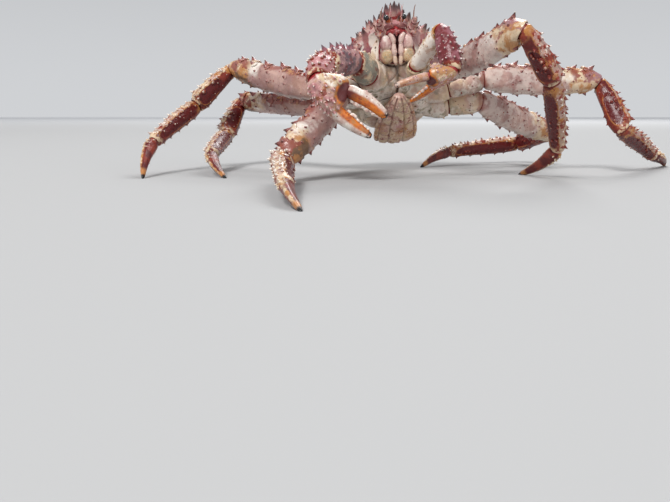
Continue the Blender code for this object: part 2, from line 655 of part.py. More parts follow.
def make_abdomen(shell):
    """The tail, folded forward under the body, with a raised plate for each of its rings."""
    places = [row[0] for row in ABDOMEN[:2]] + [ABDOMEN[-1][0]]
    for joint in PLATE_JOINTS:
        places += [joint - PLATE_FURROW, joint, joint + PLATE_FURROW]
    rings = []
    for v in sorted(places):
        level, half, thick = smooth_read(ABDOMEN, v)
        raised = 0.0 if v in PLATE_JOINTS else PLATE_RISE
        ring = []
        for i in range(ABDOMEN_SIDES):
            angle = math.tau * i / ABDOMEN_SIDES
            rise = math.sin(angle)
            ring.append(Vector((half * math.cos(angle), v, level + thick * rise + raised * min(rise, 0.0))))
        rings.append([BODY @ (p * MM) for p in ring])
    thing = new_object("abdomen", shell, body_point(0, ABDOMEN[0][0], ABDOMEN[0][1]))
    fill(thing, lambda mesh: loft(mesh, rings))


def straight_tube(start, end, sizes, outer, bow):
    """A tube between two points given in mm along the body's axes."""
    a, b = body_point(*start), body_point(*end)
    way = (b - a).normalized()
    return Tube(a, b, way, way, BODY.to_3x3() @ Vector(outer), sizes, bow * MM)


# The head's parts, in mm along the body's axes on its left side. The eyes stand on the
# shell's front face, and the jaw feet lie on the sloping mouth field, ahead less up.
FRONT = 76
MOUTH_PLANE = 77.0
EYE_STALK = ((7.0, FRONT + GAP / MM, 3.6), (9.5, 81, 3))
EYE_SIZES = ((0, 2.8, 2.8, 0), (0.5, 2.6, 2.6, 0), (1, 3.0, 3.0, 0))
# Rings of the cornea: share of the stalk's end, and reach past it in mm.
CORNEA = ((1.15, 0.4), (1.2, 2.0), (1.0, 3.6), (0.5, 4.7))
FEELER_BASE = ((18, 70.9, -6.5), (20, 84, -9.5))
FEELER_BASE_SIZES = ((0, 3.2, 3.2, 0), (0.7, 3.0, 3.0, 0), (1, 1.3, 1.3, 0))
FEELER_LASH = ((19.6, 82, -9.1), (18, 113, -14))
FEELER_LASH_SIZES = ((0, 0.9, 0.9, 0), (1, 0.35, 0.35, 0))
FEELER_BOW = 4
JAW = ((13, 71.5, -13.5), (12, 49, -36))
JAW_SIZES = ((0, 4.0, 5, 0), (0.15, 5.6, 6.6, 0), (0.4, 5.8, 6.8, 0), (0.5, 4.6, 6.4, 0),
             (0.62, 5.8, 7.8, 0), (0.85, 5.6, 8, 0), (1, 4.0, 6, 0))
PALP = ((8.5, 72, -17), (3.4, 50, -40))
PALP_SIZES = ((0, 3.0, 2.8, 0), (0.14, 4.2, 3.8, 0), (0.32, 2.6, 2.4, 0), (0.5, 4.2, 3.6, 0),
              (0.66, 2.4, 2.2, 0), (0.84, 3.4, 3.0, 0), (1, 1.6, 1.6, 0))
SMALL_SIDES = 8
LASH_SIDES = 5


def to_side(point, side):
    """A point of the left side, or its mirror image where side is -1."""
    return (point[0] * side, *point[1:])


def head_tube(line, side, sizes, outer=(0, 0, 1), bow=0.0):
    """A tube of the head on the given side."""
    return straight_tube(to_side(line[0], side), to_side(line[1], side), sizes, outer, bow)


def flatten_back(mesh):
    """Presses a jaw foot's back against the slope of the mouth field, a gap away from it."""
    limit = MOUTH_PLANE + GAP / MM * math.sqrt(2)
    to_body = BODY.inverted()
    for vertex in mesh.verts:
        place = to_body @ vertex.co / MM
        short = (limit - (place.y - place.z)) / 2
        if short > 0:
            vertex.co = BODY @ ((place + Vector((0, short, -short))) * MM)


def make_eye(name, side, shell):
    """A short stalk that ends in a round cornea."""
    stalk = head_tube(EYE_STALK, side, EYE_SIZES)
    stalk.start_normal = AHEAD
    eye = new_object(name, shell, stalk.start)
    rings = tube_rings(stalk, (0, 0.4, 0.8), SEGMENT_SIDES)
    for share, reach in CORNEA:
        rings.append([stalk.point(1, math.tau * i / SEGMENT_SIDES, share) + stalk.along * (reach * MM)
                      for i in range(SEGMENT_SIDES)])
    fill(eye, lambda mesh: loft(mesh, rings))


def make_antenna(name, side, shell):
    """The stout base of a long feeler and its thin lash."""
    base = head_tube(FEELER_BASE, side, FEELER_BASE_SIZES)
    base.start_normal = (AHEAD - UP).normalized()
    thing = new_object(name, shell, base.start)
    fill(thing, lambda mesh: loft(mesh, tube_rings(base, (0, 0.35, 0.7, 1), SMALL_SIDES)))
    lash = head_tube(FEELER_LASH, side, FEELER_LASH_SIZES, bow=FEELER_BOW)
    join(thing, [lambda mesh: loft(mesh, tube_rings(lash, (0, 0.2, 0.4, 0.6, 0.8, 1), LASH_SIDES))])


def make_jaw_foot(name, side, shell):
    """One of the third jaw feet that close the mouth, with its folded palp."""
    jaw = head_tube(JAW, side, JAW_SIZES, (0, 1, -1))
    thing = new_object(name, shell, jaw.start)

    def build(mesh):
        loft(mesh, tube_rings(jaw, (0, 0.12, 0.3, 0.5, 0.65, 0.85, 1), SEGMENT_SIDES))
        flatten_back(mesh)

    fill(thing, build)
    palp = head_tube(PALP, side, PALP_SIZES, (0, 1, -1))
    join(thing, [lambda mesh: loft(mesh, tube_rings(palp, [row[0] for row in PALP_SIZES], SMALL_SIDES))])


def make_head_parts(shells):
    """Eyes, feelers and jaw feet, left and right."""
    for word, side in (("left", 1), ("right", -1)):
        make_eye(f"eye_{word}", side, shells["eye"])
        make_antenna(f"antenna_{word}", side, shells["feeler"])
        make_jaw_foot(f"jaw_foot_{word}", side, shells["jaw"])


def main():
    for thing in list(bpy.data.objects):
        bpy.data.objects.remove(thing)
    rng = random.Random(SEED)
    red = material("shell_red", SHELL_RED, 0.35)
    cream = material("shell_cream", SHELL_CREAM, 0.35)
    dark = material("shell_dark", SHELL_DARK, 0.35)
    orange = material("claw_orange", CLAW_ORANGE, 0.3)
    black = material("eye_black", EYE_BLACK, 0.1)
    leg_shells = {"ischium": cream, "merus": cream, "carpus": red, "propodus": red, "dactylus": dark}
    arm_shells = {"arm": red, "palm": orange}
    coxae = [walking_leg(name, leg_shells, rng) for name in LEGS]
    coxae += [claw_arm(name, arm_shells, rng) for name in ARMS]
    make_carapace(red, rng)
    make_thorax(cream, coxae)
    make_abdomen(cream)
    make_head_parts({"eye": black, "feeler": red, "jaw": cream})


main()
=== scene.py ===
import math
import random

import bpy
import numpy as np
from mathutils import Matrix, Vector, noise


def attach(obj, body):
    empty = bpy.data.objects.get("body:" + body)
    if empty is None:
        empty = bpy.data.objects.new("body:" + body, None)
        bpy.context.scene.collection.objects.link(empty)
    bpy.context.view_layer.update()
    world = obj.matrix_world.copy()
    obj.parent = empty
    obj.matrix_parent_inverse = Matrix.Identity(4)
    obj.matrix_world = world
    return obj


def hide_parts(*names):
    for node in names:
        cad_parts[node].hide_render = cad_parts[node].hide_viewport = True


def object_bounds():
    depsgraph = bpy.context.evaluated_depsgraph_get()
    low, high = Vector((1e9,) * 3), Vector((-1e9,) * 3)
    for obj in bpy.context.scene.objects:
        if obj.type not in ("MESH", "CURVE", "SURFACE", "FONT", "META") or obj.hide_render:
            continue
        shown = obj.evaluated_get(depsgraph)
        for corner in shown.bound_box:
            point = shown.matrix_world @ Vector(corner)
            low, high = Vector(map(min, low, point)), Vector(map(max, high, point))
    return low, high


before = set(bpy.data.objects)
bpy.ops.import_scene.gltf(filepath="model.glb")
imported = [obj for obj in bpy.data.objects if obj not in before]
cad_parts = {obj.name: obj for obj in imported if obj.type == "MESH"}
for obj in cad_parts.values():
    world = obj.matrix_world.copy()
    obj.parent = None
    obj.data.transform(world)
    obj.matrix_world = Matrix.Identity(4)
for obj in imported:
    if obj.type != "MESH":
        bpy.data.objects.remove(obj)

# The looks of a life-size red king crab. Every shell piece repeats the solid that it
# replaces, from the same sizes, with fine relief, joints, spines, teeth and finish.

CAD_BOX = [list(corner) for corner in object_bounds()]
MM = 0.001
SEED = 11

# The body: nose up, rolled to its right, with the back shell's middle here.
NOSE_UP = math.radians(42)
ROLL = math.radians(6)
BODY_CENTRE = np.array((-0.047, 0.124, 0.122))
GAP = 0.3 * MM
FLOOR = 0.0
SQUARENESS = 2.3

# Half widths of the carapace in plan, height of its crown and of its underside, in mm.
PLAN = ((-76, 22), (-70, 45), (-60, 62), (-45, 77), (-25, 82), (-8, 79), (10, 68),
        (28, 56), (44, 45), (58, 34), (68, 24), (76, 12))
CROWN = ((-76, -4), (-68, 12), (-55, 24), (-35, 30), (-15, 30), (5, 32), (24, 37),
         (38, 37), (52, 30), (64, 22), (76, 14))
UNDERSIDE = ((-76, -16), (20, -18), (44, -15), (62, -6), (76, -1))
# Swellings and hollows of the back: across, ahead, spread across and along, height, in mm.
SWELLINGS = ((0, 34, 24, 20, 7), (34, -26, 24, 32, 6), (-34, -26, 24, 32, 6),
             (0, -36, 17, 18, 5), (30, 38, 13, 15, 3), (-30, 38, 13, 15, 3),
             (0, -4, 26, 7, -3.5), (27, 8, 14, 8, -4), (-27, 8, 14, 8, -4),
             (17, -32, 5, 26, -3), (-17, -32, 5, 26, -3))
RIM = -3.0
RIM_TURN = 0.72
DOME = 0.85

# Face sizes of the joints of a walking leg, half height and half thickness, in mm.
HIP = (11.5, 9.5)
THIGH = (12.0, 9.5)
KNEE = (9.0, 8.0)
ANKLE = (8.8, 7.6)
TOE = (6.2, 5.4)

# Each walking leg: hip in body axes, azimuth, elevation and length from hip to ischium,
# merus, carpus and propodus, azimuth and length of the dactylus, then the way the spined
# edge faces at the thigh and further out.
LEGS = {
    "leg_left_1": ((40, 22, -36), ((-62, 9, 48), (-67, 13, 128), (27, -50, 62), (66, -47, 96)),
                   (119, 66), (0, 0, 1), (0.6, -0.7, 0.1)),
    "leg_left_2": ((46, -2, -40), ((-14, 16, 62), (7, -2, 146), (-58, -55, 67), (46, -19, 108)),
                   (53, 70), (0, 0, 1), (0.9, -0.2, 0.5)),
    "leg_left_3": ((48, -26, -42), ((-8, 8, 58), (38, -17, 150), (114, -12, 68), (-160, -5, 112)),
                   (-130, 72), (0, 0, 1), (0, 0, 1)),
    "leg_right_1": ((-40, 22, -36), ((-128, -20, 46), (-122, -32, 128), (-88, 0, 62), (-85, -6, 96)),
                    (-76, 66), (-0.7, 0, 0.7), (-0.7, 0, 0.7)),
    "leg_right_2": ((-46, -2, -40), ((-160, 12, 52), (142, 11, 146), (-169, -44, 67), (-110, -23, 108)),
                    (-89, 70), (0, 0, 1), (-0.6, -0.3, 0.6)),
    "leg_right_3": ((-48, -26, -42), ((156, 11, 52), (138, 2.3, 146), (-108, -40, 68), (-91, -10, 112)),
                    (-68, 72), (-0.5, -0.6, 0.6), (-1, -0.35, 0.3)),
}
COXA_LENGTH = 20 * MM
COXA_ROOT = 12 * MM

# Each claw arm: hip, azimuth, elevation and length to ischium, merus, carpus and palm,
# length and splay of the fixed and the movable finger, the movable finger's side, the way
# the spined edge faces, and the shares of full size of its arm and of its claw.
ARMS = {
    "claw_right": ((-25, 34, -43), ((-125, 19, 50), (-125, -5, 52), (-106, -25, 42)),
                   (10, -37, 37), ((43, 0), (44, 3)), (0.66, 0.1, 0.75), (-0.3, 0, 1), (0.95, 0.95)),
    "claw_left": ((25, 34, -43), ((-100, 18, 33), (-59, 40, 52), (-66, -59, 50)),
                  (170, -20, 30), ((32, 45), (32, 6)), (0.1, -0.8, 0.45), (0.5, -0.5, 0.7), (0.78, 0.66)),
}

# Sizes of segments: place from 0 to 1, half height, half thickness, shift outward, in mm.
COXA = ((0, 8, 8, 0), (0.6, 13, 11, 0), (1, *HIP, 0))
ISCHIUM = ((0, *HIP, 0), (0.25, 12.5, 10.5, 0), (0.75, 13.2, 10.5, 0), (1, *THIGH, 0))
MERUS = ((0, *THIGH, 0), (0.08, 13.5, 10.5, 0), (0.3, 16, 11, 0), (0.6, 15, 10.5, 0),
         (0.87, 13.2, 11.5, 2.0), (0.95, 11.0, 10.5, 1.5), (1, *KNEE, 0))
CARPUS = ((0, *KNEE, 0), (0.15, 9.2, 8.5, 1), (0.45, 11, 9.5, 1.5), (0.85, 12, 10, 1), (1, *ANKLE, 0))
PROPODUS = ((0, *ANKLE, 0), (0.12, 10, 8.6, 0), (0.4, 10, 8.2, 0.5), (0.8, 8.4, 7.2, 0.5),
            (0.94, 7.8, 6.8, 0), (1, *TOE, 0))
DACTYLUS = ((0, *TOE, 0), (0.12, 7.5, 6, 0), (0.5, 5.6, 4.8, 0), (0.85, 3.0, 2.8, 0),
            (0.97, 1.6, 1.6, 0), (1, 1.1, 1.1, 0))
DACTYLUS_BOW = 3.5 * MM
TIP_LENGTH = 1.0 * MM

ARM_HIP = (17.0, 14.0)
ARM_THIGH = (13.0, 11.0)
ELBOW = (9.5, 9.0)
WRIST = (10.0, 8.5)
ARM_COXA = ((0, 11, 10, 0), (0.5, 19, 16, 0), (1, *ARM_HIP, 0))
ARM_ISCHIUM = ((0, *ARM_HIP, 0), (0.4, 18.5, 15, 0), (0.8, 16, 13, 0), (1, *ARM_THIGH, 0))
ARM_MERUS = ((0, *ARM_THIGH, 0), (0.2, 14.5, 12.5, 0), (0.6, 15.5, 13.5, 0), (0.88, 13, 12, 0),
             (1, *ELBOW, 0))
ARM_CARPUS = ((0, *ELBOW, 0), (0.25, 13.5, 12, 1), (0.65, 15, 13.5, 1), (0.9, 13, 12, 0),
              (1, *WRIST, 0))
PALM = ((0, *WRIST, 0), (0.15, 14.5, 12, 0), (0.45, 19, 14, 0), (0.75, 20, 13.5, 0), (1, 18.5, 11, 0))
FINGER_REACH = 12 * MM
FINGER_ROOT = 6 * MM
FINGER_BOW = 3.0 * MM
FINGER_CURL = 0.25

# The underbody: place, half width at top and sole, level of the sole, in mm.
THORAX = ((-64, 34, 20, -34), (-54, 41, 27, -42), (-28, 52, 34, -50), (0, 46, 32, -51), (20, 39, 28, -50),
          (32, 34, 26, -44), (44, 30, 24, -33), (56, 24, 21, -21), (66, 18, 18, -11), (72, 13.5, 13.5, -5))
THORAX_GROOVE = 3.0
THORAX_GAP = 1.4 * GAP
# The tail under the body: place ahead, level, half width and half thickness in mm.
ABDOMEN = ((-70, -40, 19, 5), (-64, -52, 24, 6), (-48, -59.5, 27, 6), (-26, -60.5, 25, 6),
           (-6, -60.5, 20, 5.5), (10, -60, 13, 5), (20, -58.5, 6, 4))
PLATE_RISE = 1.2

# The head's parts, in mm along the body's axes on its left side.
FRONT = 76
MOUTH_PLANE = 77.0
EYE_STALK = ((7.0, FRONT + GAP / MM, 3.6), (9.5, 81, 3))
EYE_SIZES = ((0, 2.8, 2.8, 0), (0.5, 2.6, 2.6, 0), (1, 3.0, 3.0, 0))
FEELER_LASH = ((19.6, 82, -9.1), (18, 113, -14))
FEELER_LASH_SIZES = ((0, 0.9, 0.9, 0), (1, 0.35, 0.35, 0))
FEELER_BOW = 4
JAW = ((13, 71.5, -13.5), (12, 49, -36))
JAW_SIZES = ((0, 2.6, 3.4, 0), (0.12, 4.6, 5.0, 0), (0.28, 5.8, 6.4, 0), (0.42, 5.4, 6.4, 0),
             (0.5, 4.4, 5.4, 0), (0.58, 5.4, 6.8, 0), (0.74, 6.0, 8.2, 0), (0.9, 5.0, 7.0, 0),
             (1, 2.8, 4.0, 0))

# Vectors and curves.

def unit(vectors):
    """The vectors at unit length."""
    vectors = np.asarray(vectors, float)
    return vectors / np.linalg.norm(vectors, axis=-1, keepdims=True)


def aim(azimuth, elevation):
    """Unit vector of an azimuth and elevation in degrees."""
    a, e = math.radians(azimuth), math.radians(elevation)
    return np.array((math.cos(e) * math.cos(a), math.cos(e) * math.sin(a), math.sin(e)))


def across(vector, direction):
    """The part of a vector square to a direction, as a unit vector."""
    vector = np.asarray(vector, float)
    return unit(vector - direction * (vector @ direction))


def smooth_read(table, x):
    """Reads a table of (x, y, ...) rows at x, on a smooth curve through the rows."""
    if x <= table[0][0]:
        return np.array(table[0][1:], float)
    if x >= table[-1][0]:
        return np.array(table[-1][1:], float)
    k = max(i for i in range(len(table) - 1) if table[i][0] <= x)
    before, after = table[max(k - 1, 0)], table[min(k + 2, len(table) - 1)]
    start, end = table[k], table[k + 1]
    span = end[0] - start[0]
    t = (x - start[0]) / span
    first, last = np.array(start[1:], float), np.array(end[1:], float)
    slope_a = (last - np.array(before[1:], float)) / (end[0] - before[0]) * span
    slope_b = (np.array(after[1:], float) - first) / (after[0] - start[0]) * span
    return ((2 * t**3 - 3 * t**2 + 1) * first + (t**3 - 2 * t**2 + t) * slope_a
            + (3 * t**2 - 2 * t**3) * last + (t**3 - t**2) * slope_b)


def body_axes():
    """The body's own axes: across to the crab's left, ahead, and up from the back."""
    ahead = np.array((0, -math.cos(NOSE_UP), math.sin(NOSE_UP)))
    level = np.array((1.0, 0, 0))
    back = np.array((0, math.sin(NOSE_UP), math.cos(NOSE_UP)))
    up = back * math.cos(ROLL) - level * math.sin(ROLL)
    left = level * math.cos(ROLL) + back * math.sin(ROLL)
    return left, ahead, up


LEFT, AHEAD, UP = body_axes()
AXES = np.array((LEFT, AHEAD, UP))


def to_world(points):
    """Points in mm along the body's axes, in the model's frame."""
    return BODY_CENTRE + (np.asarray(points, float) * MM) @ AXES


def to_body(points):
    """Points of the model's frame in mm along the body's axes."""
    return ((np.asarray(points, float) - BODY_CENTRE) @ AXES.T) / MM


class Tube:
    """A limb's segment: a straight or bowed axis with oval sections along it."""

    def __init__(self, start, end, start_normal, end_normal, outer, sizes, bow=0.0):
        """Keeps the axis, the normals of the end faces and the way that the outer edge faces."""
        self.start = start
        self.run = end - start
        self.length = float(np.linalg.norm(self.run))
        self.along = unit(self.run)
        self.start_normal = start_normal
        self.end_normal = end_normal
        self.outer = across(outer, self.along)
        self.sizes = sizes
        self.bow = bow
        self.bend = max(row[1] for row in sizes) * MM

    def section(self, t):
        """Centre, normal, up and side of a section, and its half height and thickness."""
        inside = min(max(t, 0.0), 1.0)
        height, thickness, shift = smooth_read(self.sizes, inside) * MM
        near_start = max(0.0, 1 - inside * self.length / self.bend)
        near_end = max(0.0, 1 - (1 - inside) * self.length / self.bend)
        slope = self.outer * (self.bow * math.pi * math.cos(math.pi * inside) / self.length)
        middle = unit(self.along + slope)
        normal = unit(middle + (self.start_normal - middle) * near_start
                      + (self.end_normal - middle) * near_end)
        centre = (self.start + self.run * inside + normal * ((t - inside) * self.length)
                  + self.outer * (shift + self.bow * math.sin(math.pi * inside)))
        up = across(self.outer, normal)
        return centre, normal, up, np.cross(normal, up), height, thickness

    def grid(self, places, shares, angles):
        """Rings of points: angle 0 is the outer edge, and 90 degrees one broad side."""
        c, s = np.cos(angles), np.sin(angles)
        reach = (abs(c) ** SQUARENESS + abs(s) ** SQUARENESS) ** (-1 / SQUARENESS)
        rings = []
        for t, share in zip(places, shares):
            centre, _, up, side, height, thickness = self.section(t)
            rings.append(centre + np.outer(c * reach * height * share, up)
                         + np.outer(s * reach * thickness * share, side))
        return np.array(rings)

    def point(self, t, angle, share=1.0):
        """The surface's point at a place and an angle."""
        return self.grid([t], [share], np.array([angle]))[0, 0]

    def facing(self, t, angle):
        """The outward direction of the surface."""
        step = 0.02
        along = self.point(min(t + step, 1.0), angle) - self.point(max(t - step, 0.0), angle)
        around = self.point(t, angle + step) - self.point(t, angle - step)
        out = unit(np.cross(around, along))
        return out if out @ (self.point(t, angle) - self.section(t)[0]) > 0 else -out


# Meshes: points, faces and masks that the materials read.

MASKS = ("spine", "skin", "outer", "side", "along", "tint", "stain")


def grain(points, scale, octaves=3):
    """Smooth noise from about -1 to 1 at each point, with features 1/scale metres across."""
    flat = np.asarray(points, float).reshape(-1, 3) * scale
    values = [noise.fractal(Vector(p), 0.9, 2.1, octaves) for p in flat.tolist()]
    return np.array(values).reshape(np.shape(points)[:-1])


def grid_normals(grid):
    """Outward unit normals of rings of points."""
    along = np.gradient(grid, axis=0)
    around = np.roll(grid, -1, axis=1) - np.roll(grid, 1, axis=1)
    normals = np.cross(around, along)
    normals /= np.maximum(np.linalg.norm(normals, axis=-1, keepdims=True), 1e-12)
    centre = grid.mean(axis=1, keepdims=True)
    return normals * np.sign(((grid - centre) * normals).sum(-1).mean())


class Shape:
    """Collects closed surfaces with their masks, and makes one piece of them."""

    def __init__(self):
        """Starts with no surface."""
        self.points = []
        self.faces = []
        self.masks = {name: [] for name in MASKS}
        self.count = 0

    def add(self, points, faces, masks):
        """Adds points, faces as rows of 3 or 4 point numbers, and masks by name."""
        self.points.append(np.clip(points, *CAD_BOX))
        self.faces += [block + self.count for block in faces]
        for name in MASKS:
            self.masks[name].append(np.broadcast_to(masks.get(name, 0.0), len(points)).astype(np.float32))
        self.count += len(points)

    def add_rings(self, grid, masks):
        """Adds rings as a closed surface, each end closed to its middle."""
        rows, columns = grid.shape[:2]
        number = np.arange(rows * columns).reshape(rows, columns)
        low, high = number[:-1], number[1:]
        quads = np.stack((low, np.roll(low, -1, 1), np.roll(high, -1, 1), high), -1).reshape(-1, 4)
        first, last = rows * columns, rows * columns + 1
        ends = []
        for ring, middle, turn in ((number[0], first, -1), (number[-1], last, 1)):
            follow = np.roll(ring, -1)
            fan = np.stack((ring, follow, np.full(columns, middle)), -1)
            ends.append(fan[:, ::turn])
        points = np.concatenate((grid.reshape(-1, 3), grid[:1].mean(1), grid[-1:].mean(1)))
        around = grid[:, 1] - grid[:, 0]
        outward = grid[:, 0] - grid.mean(1)
        along = np.gradient(grid[:, 0], axis=0)
        if (np.cross(around, along) * outward).sum() < 0:
            quads = quads[:, ::-1]
            ends = [fan[:, ::-1] for fan in ends]
        full = {}
        for name, values in masks.items():
            values = np.broadcast_to(values, (rows, columns))
            full[name] = np.concatenate((values.reshape(-1), (values[0].mean(), values[-1].mean())))
        self.add(points, [quads] + ends, full)

    def make(self, name, finish, nodes):
        """The piece as an object that rides on the body and stands for its nodes."""
        points = np.concatenate(self.points)
        loops = np.concatenate([block.reshape(-1) for block in self.faces])
        sizes = np.concatenate([np.full(len(block), block.shape[1]) for block in self.faces])
        mesh = bpy.data.meshes.new(name)
        mesh.vertices.add(len(points))
        mesh.vertices.foreach_set("co", points.reshape(-1).astype(np.float32))
        mesh.loops.add(len(loops))
        mesh.loops.foreach_set("vertex_index", loops.astype(np.int32))
        mesh.polygons.add(len(sizes))
        mesh.polygons.foreach_set("loop_start", (np.cumsum(sizes) - sizes).astype(np.int32))
        mesh.update(calc_edges=True)
        mesh.validate()
        for mask, parts in self.masks.items():
            mesh.attributes.new(mask, "FLOAT", "POINT").data.foreach_set("value", np.concatenate(parts))
        mesh.shade_smooth()
        mesh.materials.append(finish)
        thing = bpy.data.objects.new(name, mesh)
        bpy.context.scene.collection.objects.link(thing)
        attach(thing, "root")
        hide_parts(*nodes)


# Spines.

# Rings of a thorn: share of its length, share of its radius; the first ones are sunk.
THORN = ((-0.30, 2.0), (-0.08, 1.85), (0.0, 1.55), (0.06, 1.3), (0.14, 1.1), (0.26, 0.93), (0.4, 0.76),
         (0.56, 0.57), (0.72, 0.38), (0.86, 0.21), (0.95, 0.1), (0.99, 0.045))
# How far a thorn's point bends over, and how much its root widens along the bend, as shares.
THORN_CURVE = 0.28
THORN_FLARE = 0.35
# Swellings at the roots of spines and of warts: height and spread, as shares of the radius.
THORN_MOUND = (0.42, 2.1)
WART_MOUND = (0.4, 1.5)


def add_thorns(shape, thorns, masks, sides=10):
    """Adds thorns, from rows of (root, way, lean, length, radius), with flared roots."""
    if not thorns:
        return
    root = np.array([row[0] for row in thorns])
    way = unit([row[1] for row in thorns])
    lean = np.array([row[2] for row in thorns])
    length = np.array([row[3] for row in thorns])
    radius = np.array([row[4] for row in thorns])
    lean_flat = lean - way * (lean * way).sum(-1, keepdims=True)
    tip = root + (way + THORN_CURVE * lean) * length[:, None]
    least, most = np.array(CAD_BOX)
    room = np.where(tip > most, (most - root) / (tip - root),
                    np.where(tip < least, (least - root) / (tip - root), 1.0))
    length = length * np.clip(room.min(-1), 0.2, 1.0)
    weak = np.linalg.norm(lean_flat, axis=-1) < 1e-3
    lean_flat[weak] = np.cross(way[weak], (0.31, 0.52, 0.79))
    first = unit(lean_flat)
    second = np.cross(way, first)
    along, wide = np.array(THORN).T
    angles = np.arange(sides) * math.tau / sides
    reach = along[None, :] * length[:, None]
    centre = (root[:, None] + way[:, None] * reach[..., None]
              + lean[:, None] * (THORN_CURVE * length[:, None] * np.clip(along, 0, 1) ** 2)[..., None])
    flare = 1 + THORN_FLARE * np.clip((0.3 - along) / 0.3, 0, 1)
    ring = (first[:, None, None] * np.cos(angles)[None, None, :, None] * flare[None, :, None, None]
            + second[:, None, None] * np.sin(angles)[None, None, :, None])
    points = centre[:, :, None] + ring * (wide[None, :, None] * radius[:, None, None])[..., None]
    count, rows = points.shape[:2]
    number = np.arange(count * rows * sides).reshape(count, rows, sides)
    low, high = number[:, :-1], number[:, 1:]
    quads = np.stack((low, np.roll(low, -1, 2), np.roll(high, -1, 2), high), -1).reshape(-1, 4)
    tips = count * rows * sides + np.arange(count)
    top = number[:, -1]
    tris = np.stack((top, np.roll(top, -1, 1), np.repeat(tips[:, None], sides, 1)), -1).reshape(-1, 3)
    feet = tips + count
    base = number[:, 0]
    soles = np.stack((np.roll(base, -1, 1), base, np.repeat(feet[:, None], sides, 1)), -1).reshape(-1, 3)
    tip_points = root + way * length[:, None] + lean * (THORN_CURVE * length)[:, None]
    everything = np.concatenate((points.reshape(-1, 3), tip_points, points[:, 0].mean(1)))
    height = np.broadcast_to(np.clip(along, 0, 1)[None, :, None], points.shape[:3]).reshape(-1)
    full = dict(masks)
    full["spine"] = np.concatenate((height, np.ones(count), np.zeros(count)))
    for name in ("outer", "side", "along", "tint", "stain"):
        if name in full and np.ndim(full[name]):
            each = np.asarray(full[name])
            full[name] = np.concatenate((np.repeat(each, rows * sides), each, each))
    shape.add(everything, [quads, tris, soles], full)


def mounds(grid, thorns, share, spread):
    """Height of the swelling at the root of each thorn, over a grid of points."""
    height = np.zeros(grid.shape[:2])
    for root, *_, radius in thorns:
        away = ((grid - root) ** 2).sum(-1)
        height += share * radius * np.exp(-away / (spread * radius) ** 2)
    return height


def face_thorn(root, tip, radius, side, lean):
    """A thorn of the head on the given side, from its root, tip and radius in mm."""
    start, end = (to_world((place[0] * side, *place[1:])) for place in (root, tip))
    return start, unit(end - start), UP * lean, float(np.linalg.norm(end - start)), radius * MM


# Strands: soft tubes along smooth curves.

# Rings of a strand's round end: distance beyond the curve and width there, as shares of the radius.
ROUND_CAP = ((0.9, 0.35), (0.7, 0.7), (0.35, 0.93))


def smooth_path(points, step):
    """A smooth open curve through rows of numbers, sampled about every step along it."""
    points = np.asarray(points, float)
    padded = np.concatenate(((2 * points[0] - points[1])[None], points, (2 * points[-1] - points[-2])[None]))
    rows = []
    for a, b, c, d in zip(padded, padded[1:], padded[2:], padded[3:]):
        count = max(2, int(np.linalg.norm((c - b)[:3]) / step))
        t = (np.arange(count) / count)[:, None]
        rows.append(0.5 * (2 * b + (c - a) * t + (2 * a - 5 * b + 4 * c - d) * t**2
                           + (3 * b - a - 3 * c + d) * t**3))
    return np.concatenate(rows + [points[-1:]])


def add_strand(shape, rows, masks, step=0.6, columns=14, flat=1.0, outer=(0.0, 0.3, 1.0), rough=0.0,
               band=None):
    """Adds a strand from rows of (across, ahead, up, radius) in mm along the body's axes."""
    path = smooth_path(rows, step)
    radius = np.maximum(path[:, 3], 0.1)
    way = np.gradient(path[:, :3], axis=0)
    way = unit(way)
    up = np.asarray(outer, float)[None] - way * (way @ np.asarray(outer, float))[:, None]
    up = unit(up)
    side = np.cross(way, up)
    far, share = np.array(ROUND_CAP).T
    before = path[:1, :3] - way[:1] * (radius[0] * far)[:, None]
    after = path[-1:, :3] + way[-1:] * (radius[-1] * far[::-1])[:, None]
    centre = np.concatenate((before, path[:, :3], after))
    pad = (len(far), len(far))
    wide = np.pad(radius, pad, mode="edge")
    wide[:len(far)] *= share
    wide[-len(far):] *= share[::-1]
    up, side = (np.pad(v, (pad, (0, 0)), mode="edge") for v in (up, side))
    angles = np.arange(columns) * math.tau / columns
    grid = (centre[:, None] + up[:, None] * (np.cos(angles)[None] * wide[:, None] * flat)[..., None]
            + side[:, None] * (np.sin(angles)[None] * wide[:, None])[..., None])
    world = to_world(grid)
    if rough:
        world = world + grid_normals(world) * (rough * MM * grain(world, 350, 3))[..., None]
    along = np.clip(np.linspace(0, 1, len(wide)), 0, 1)
    if band is not None:
        masks = {**masks, "skin": band(along)[:, None]}
    shape.add_rings(world, {"along": along[:, None], "outer": np.cos(angles)[None], **masks})


def mirrored(rows, side):
    """Rows of (across, ...) on the left side or mirrored to the right."""
    return [(row[0] * side, *row[1:]) for row in rows]


# Limb segments.

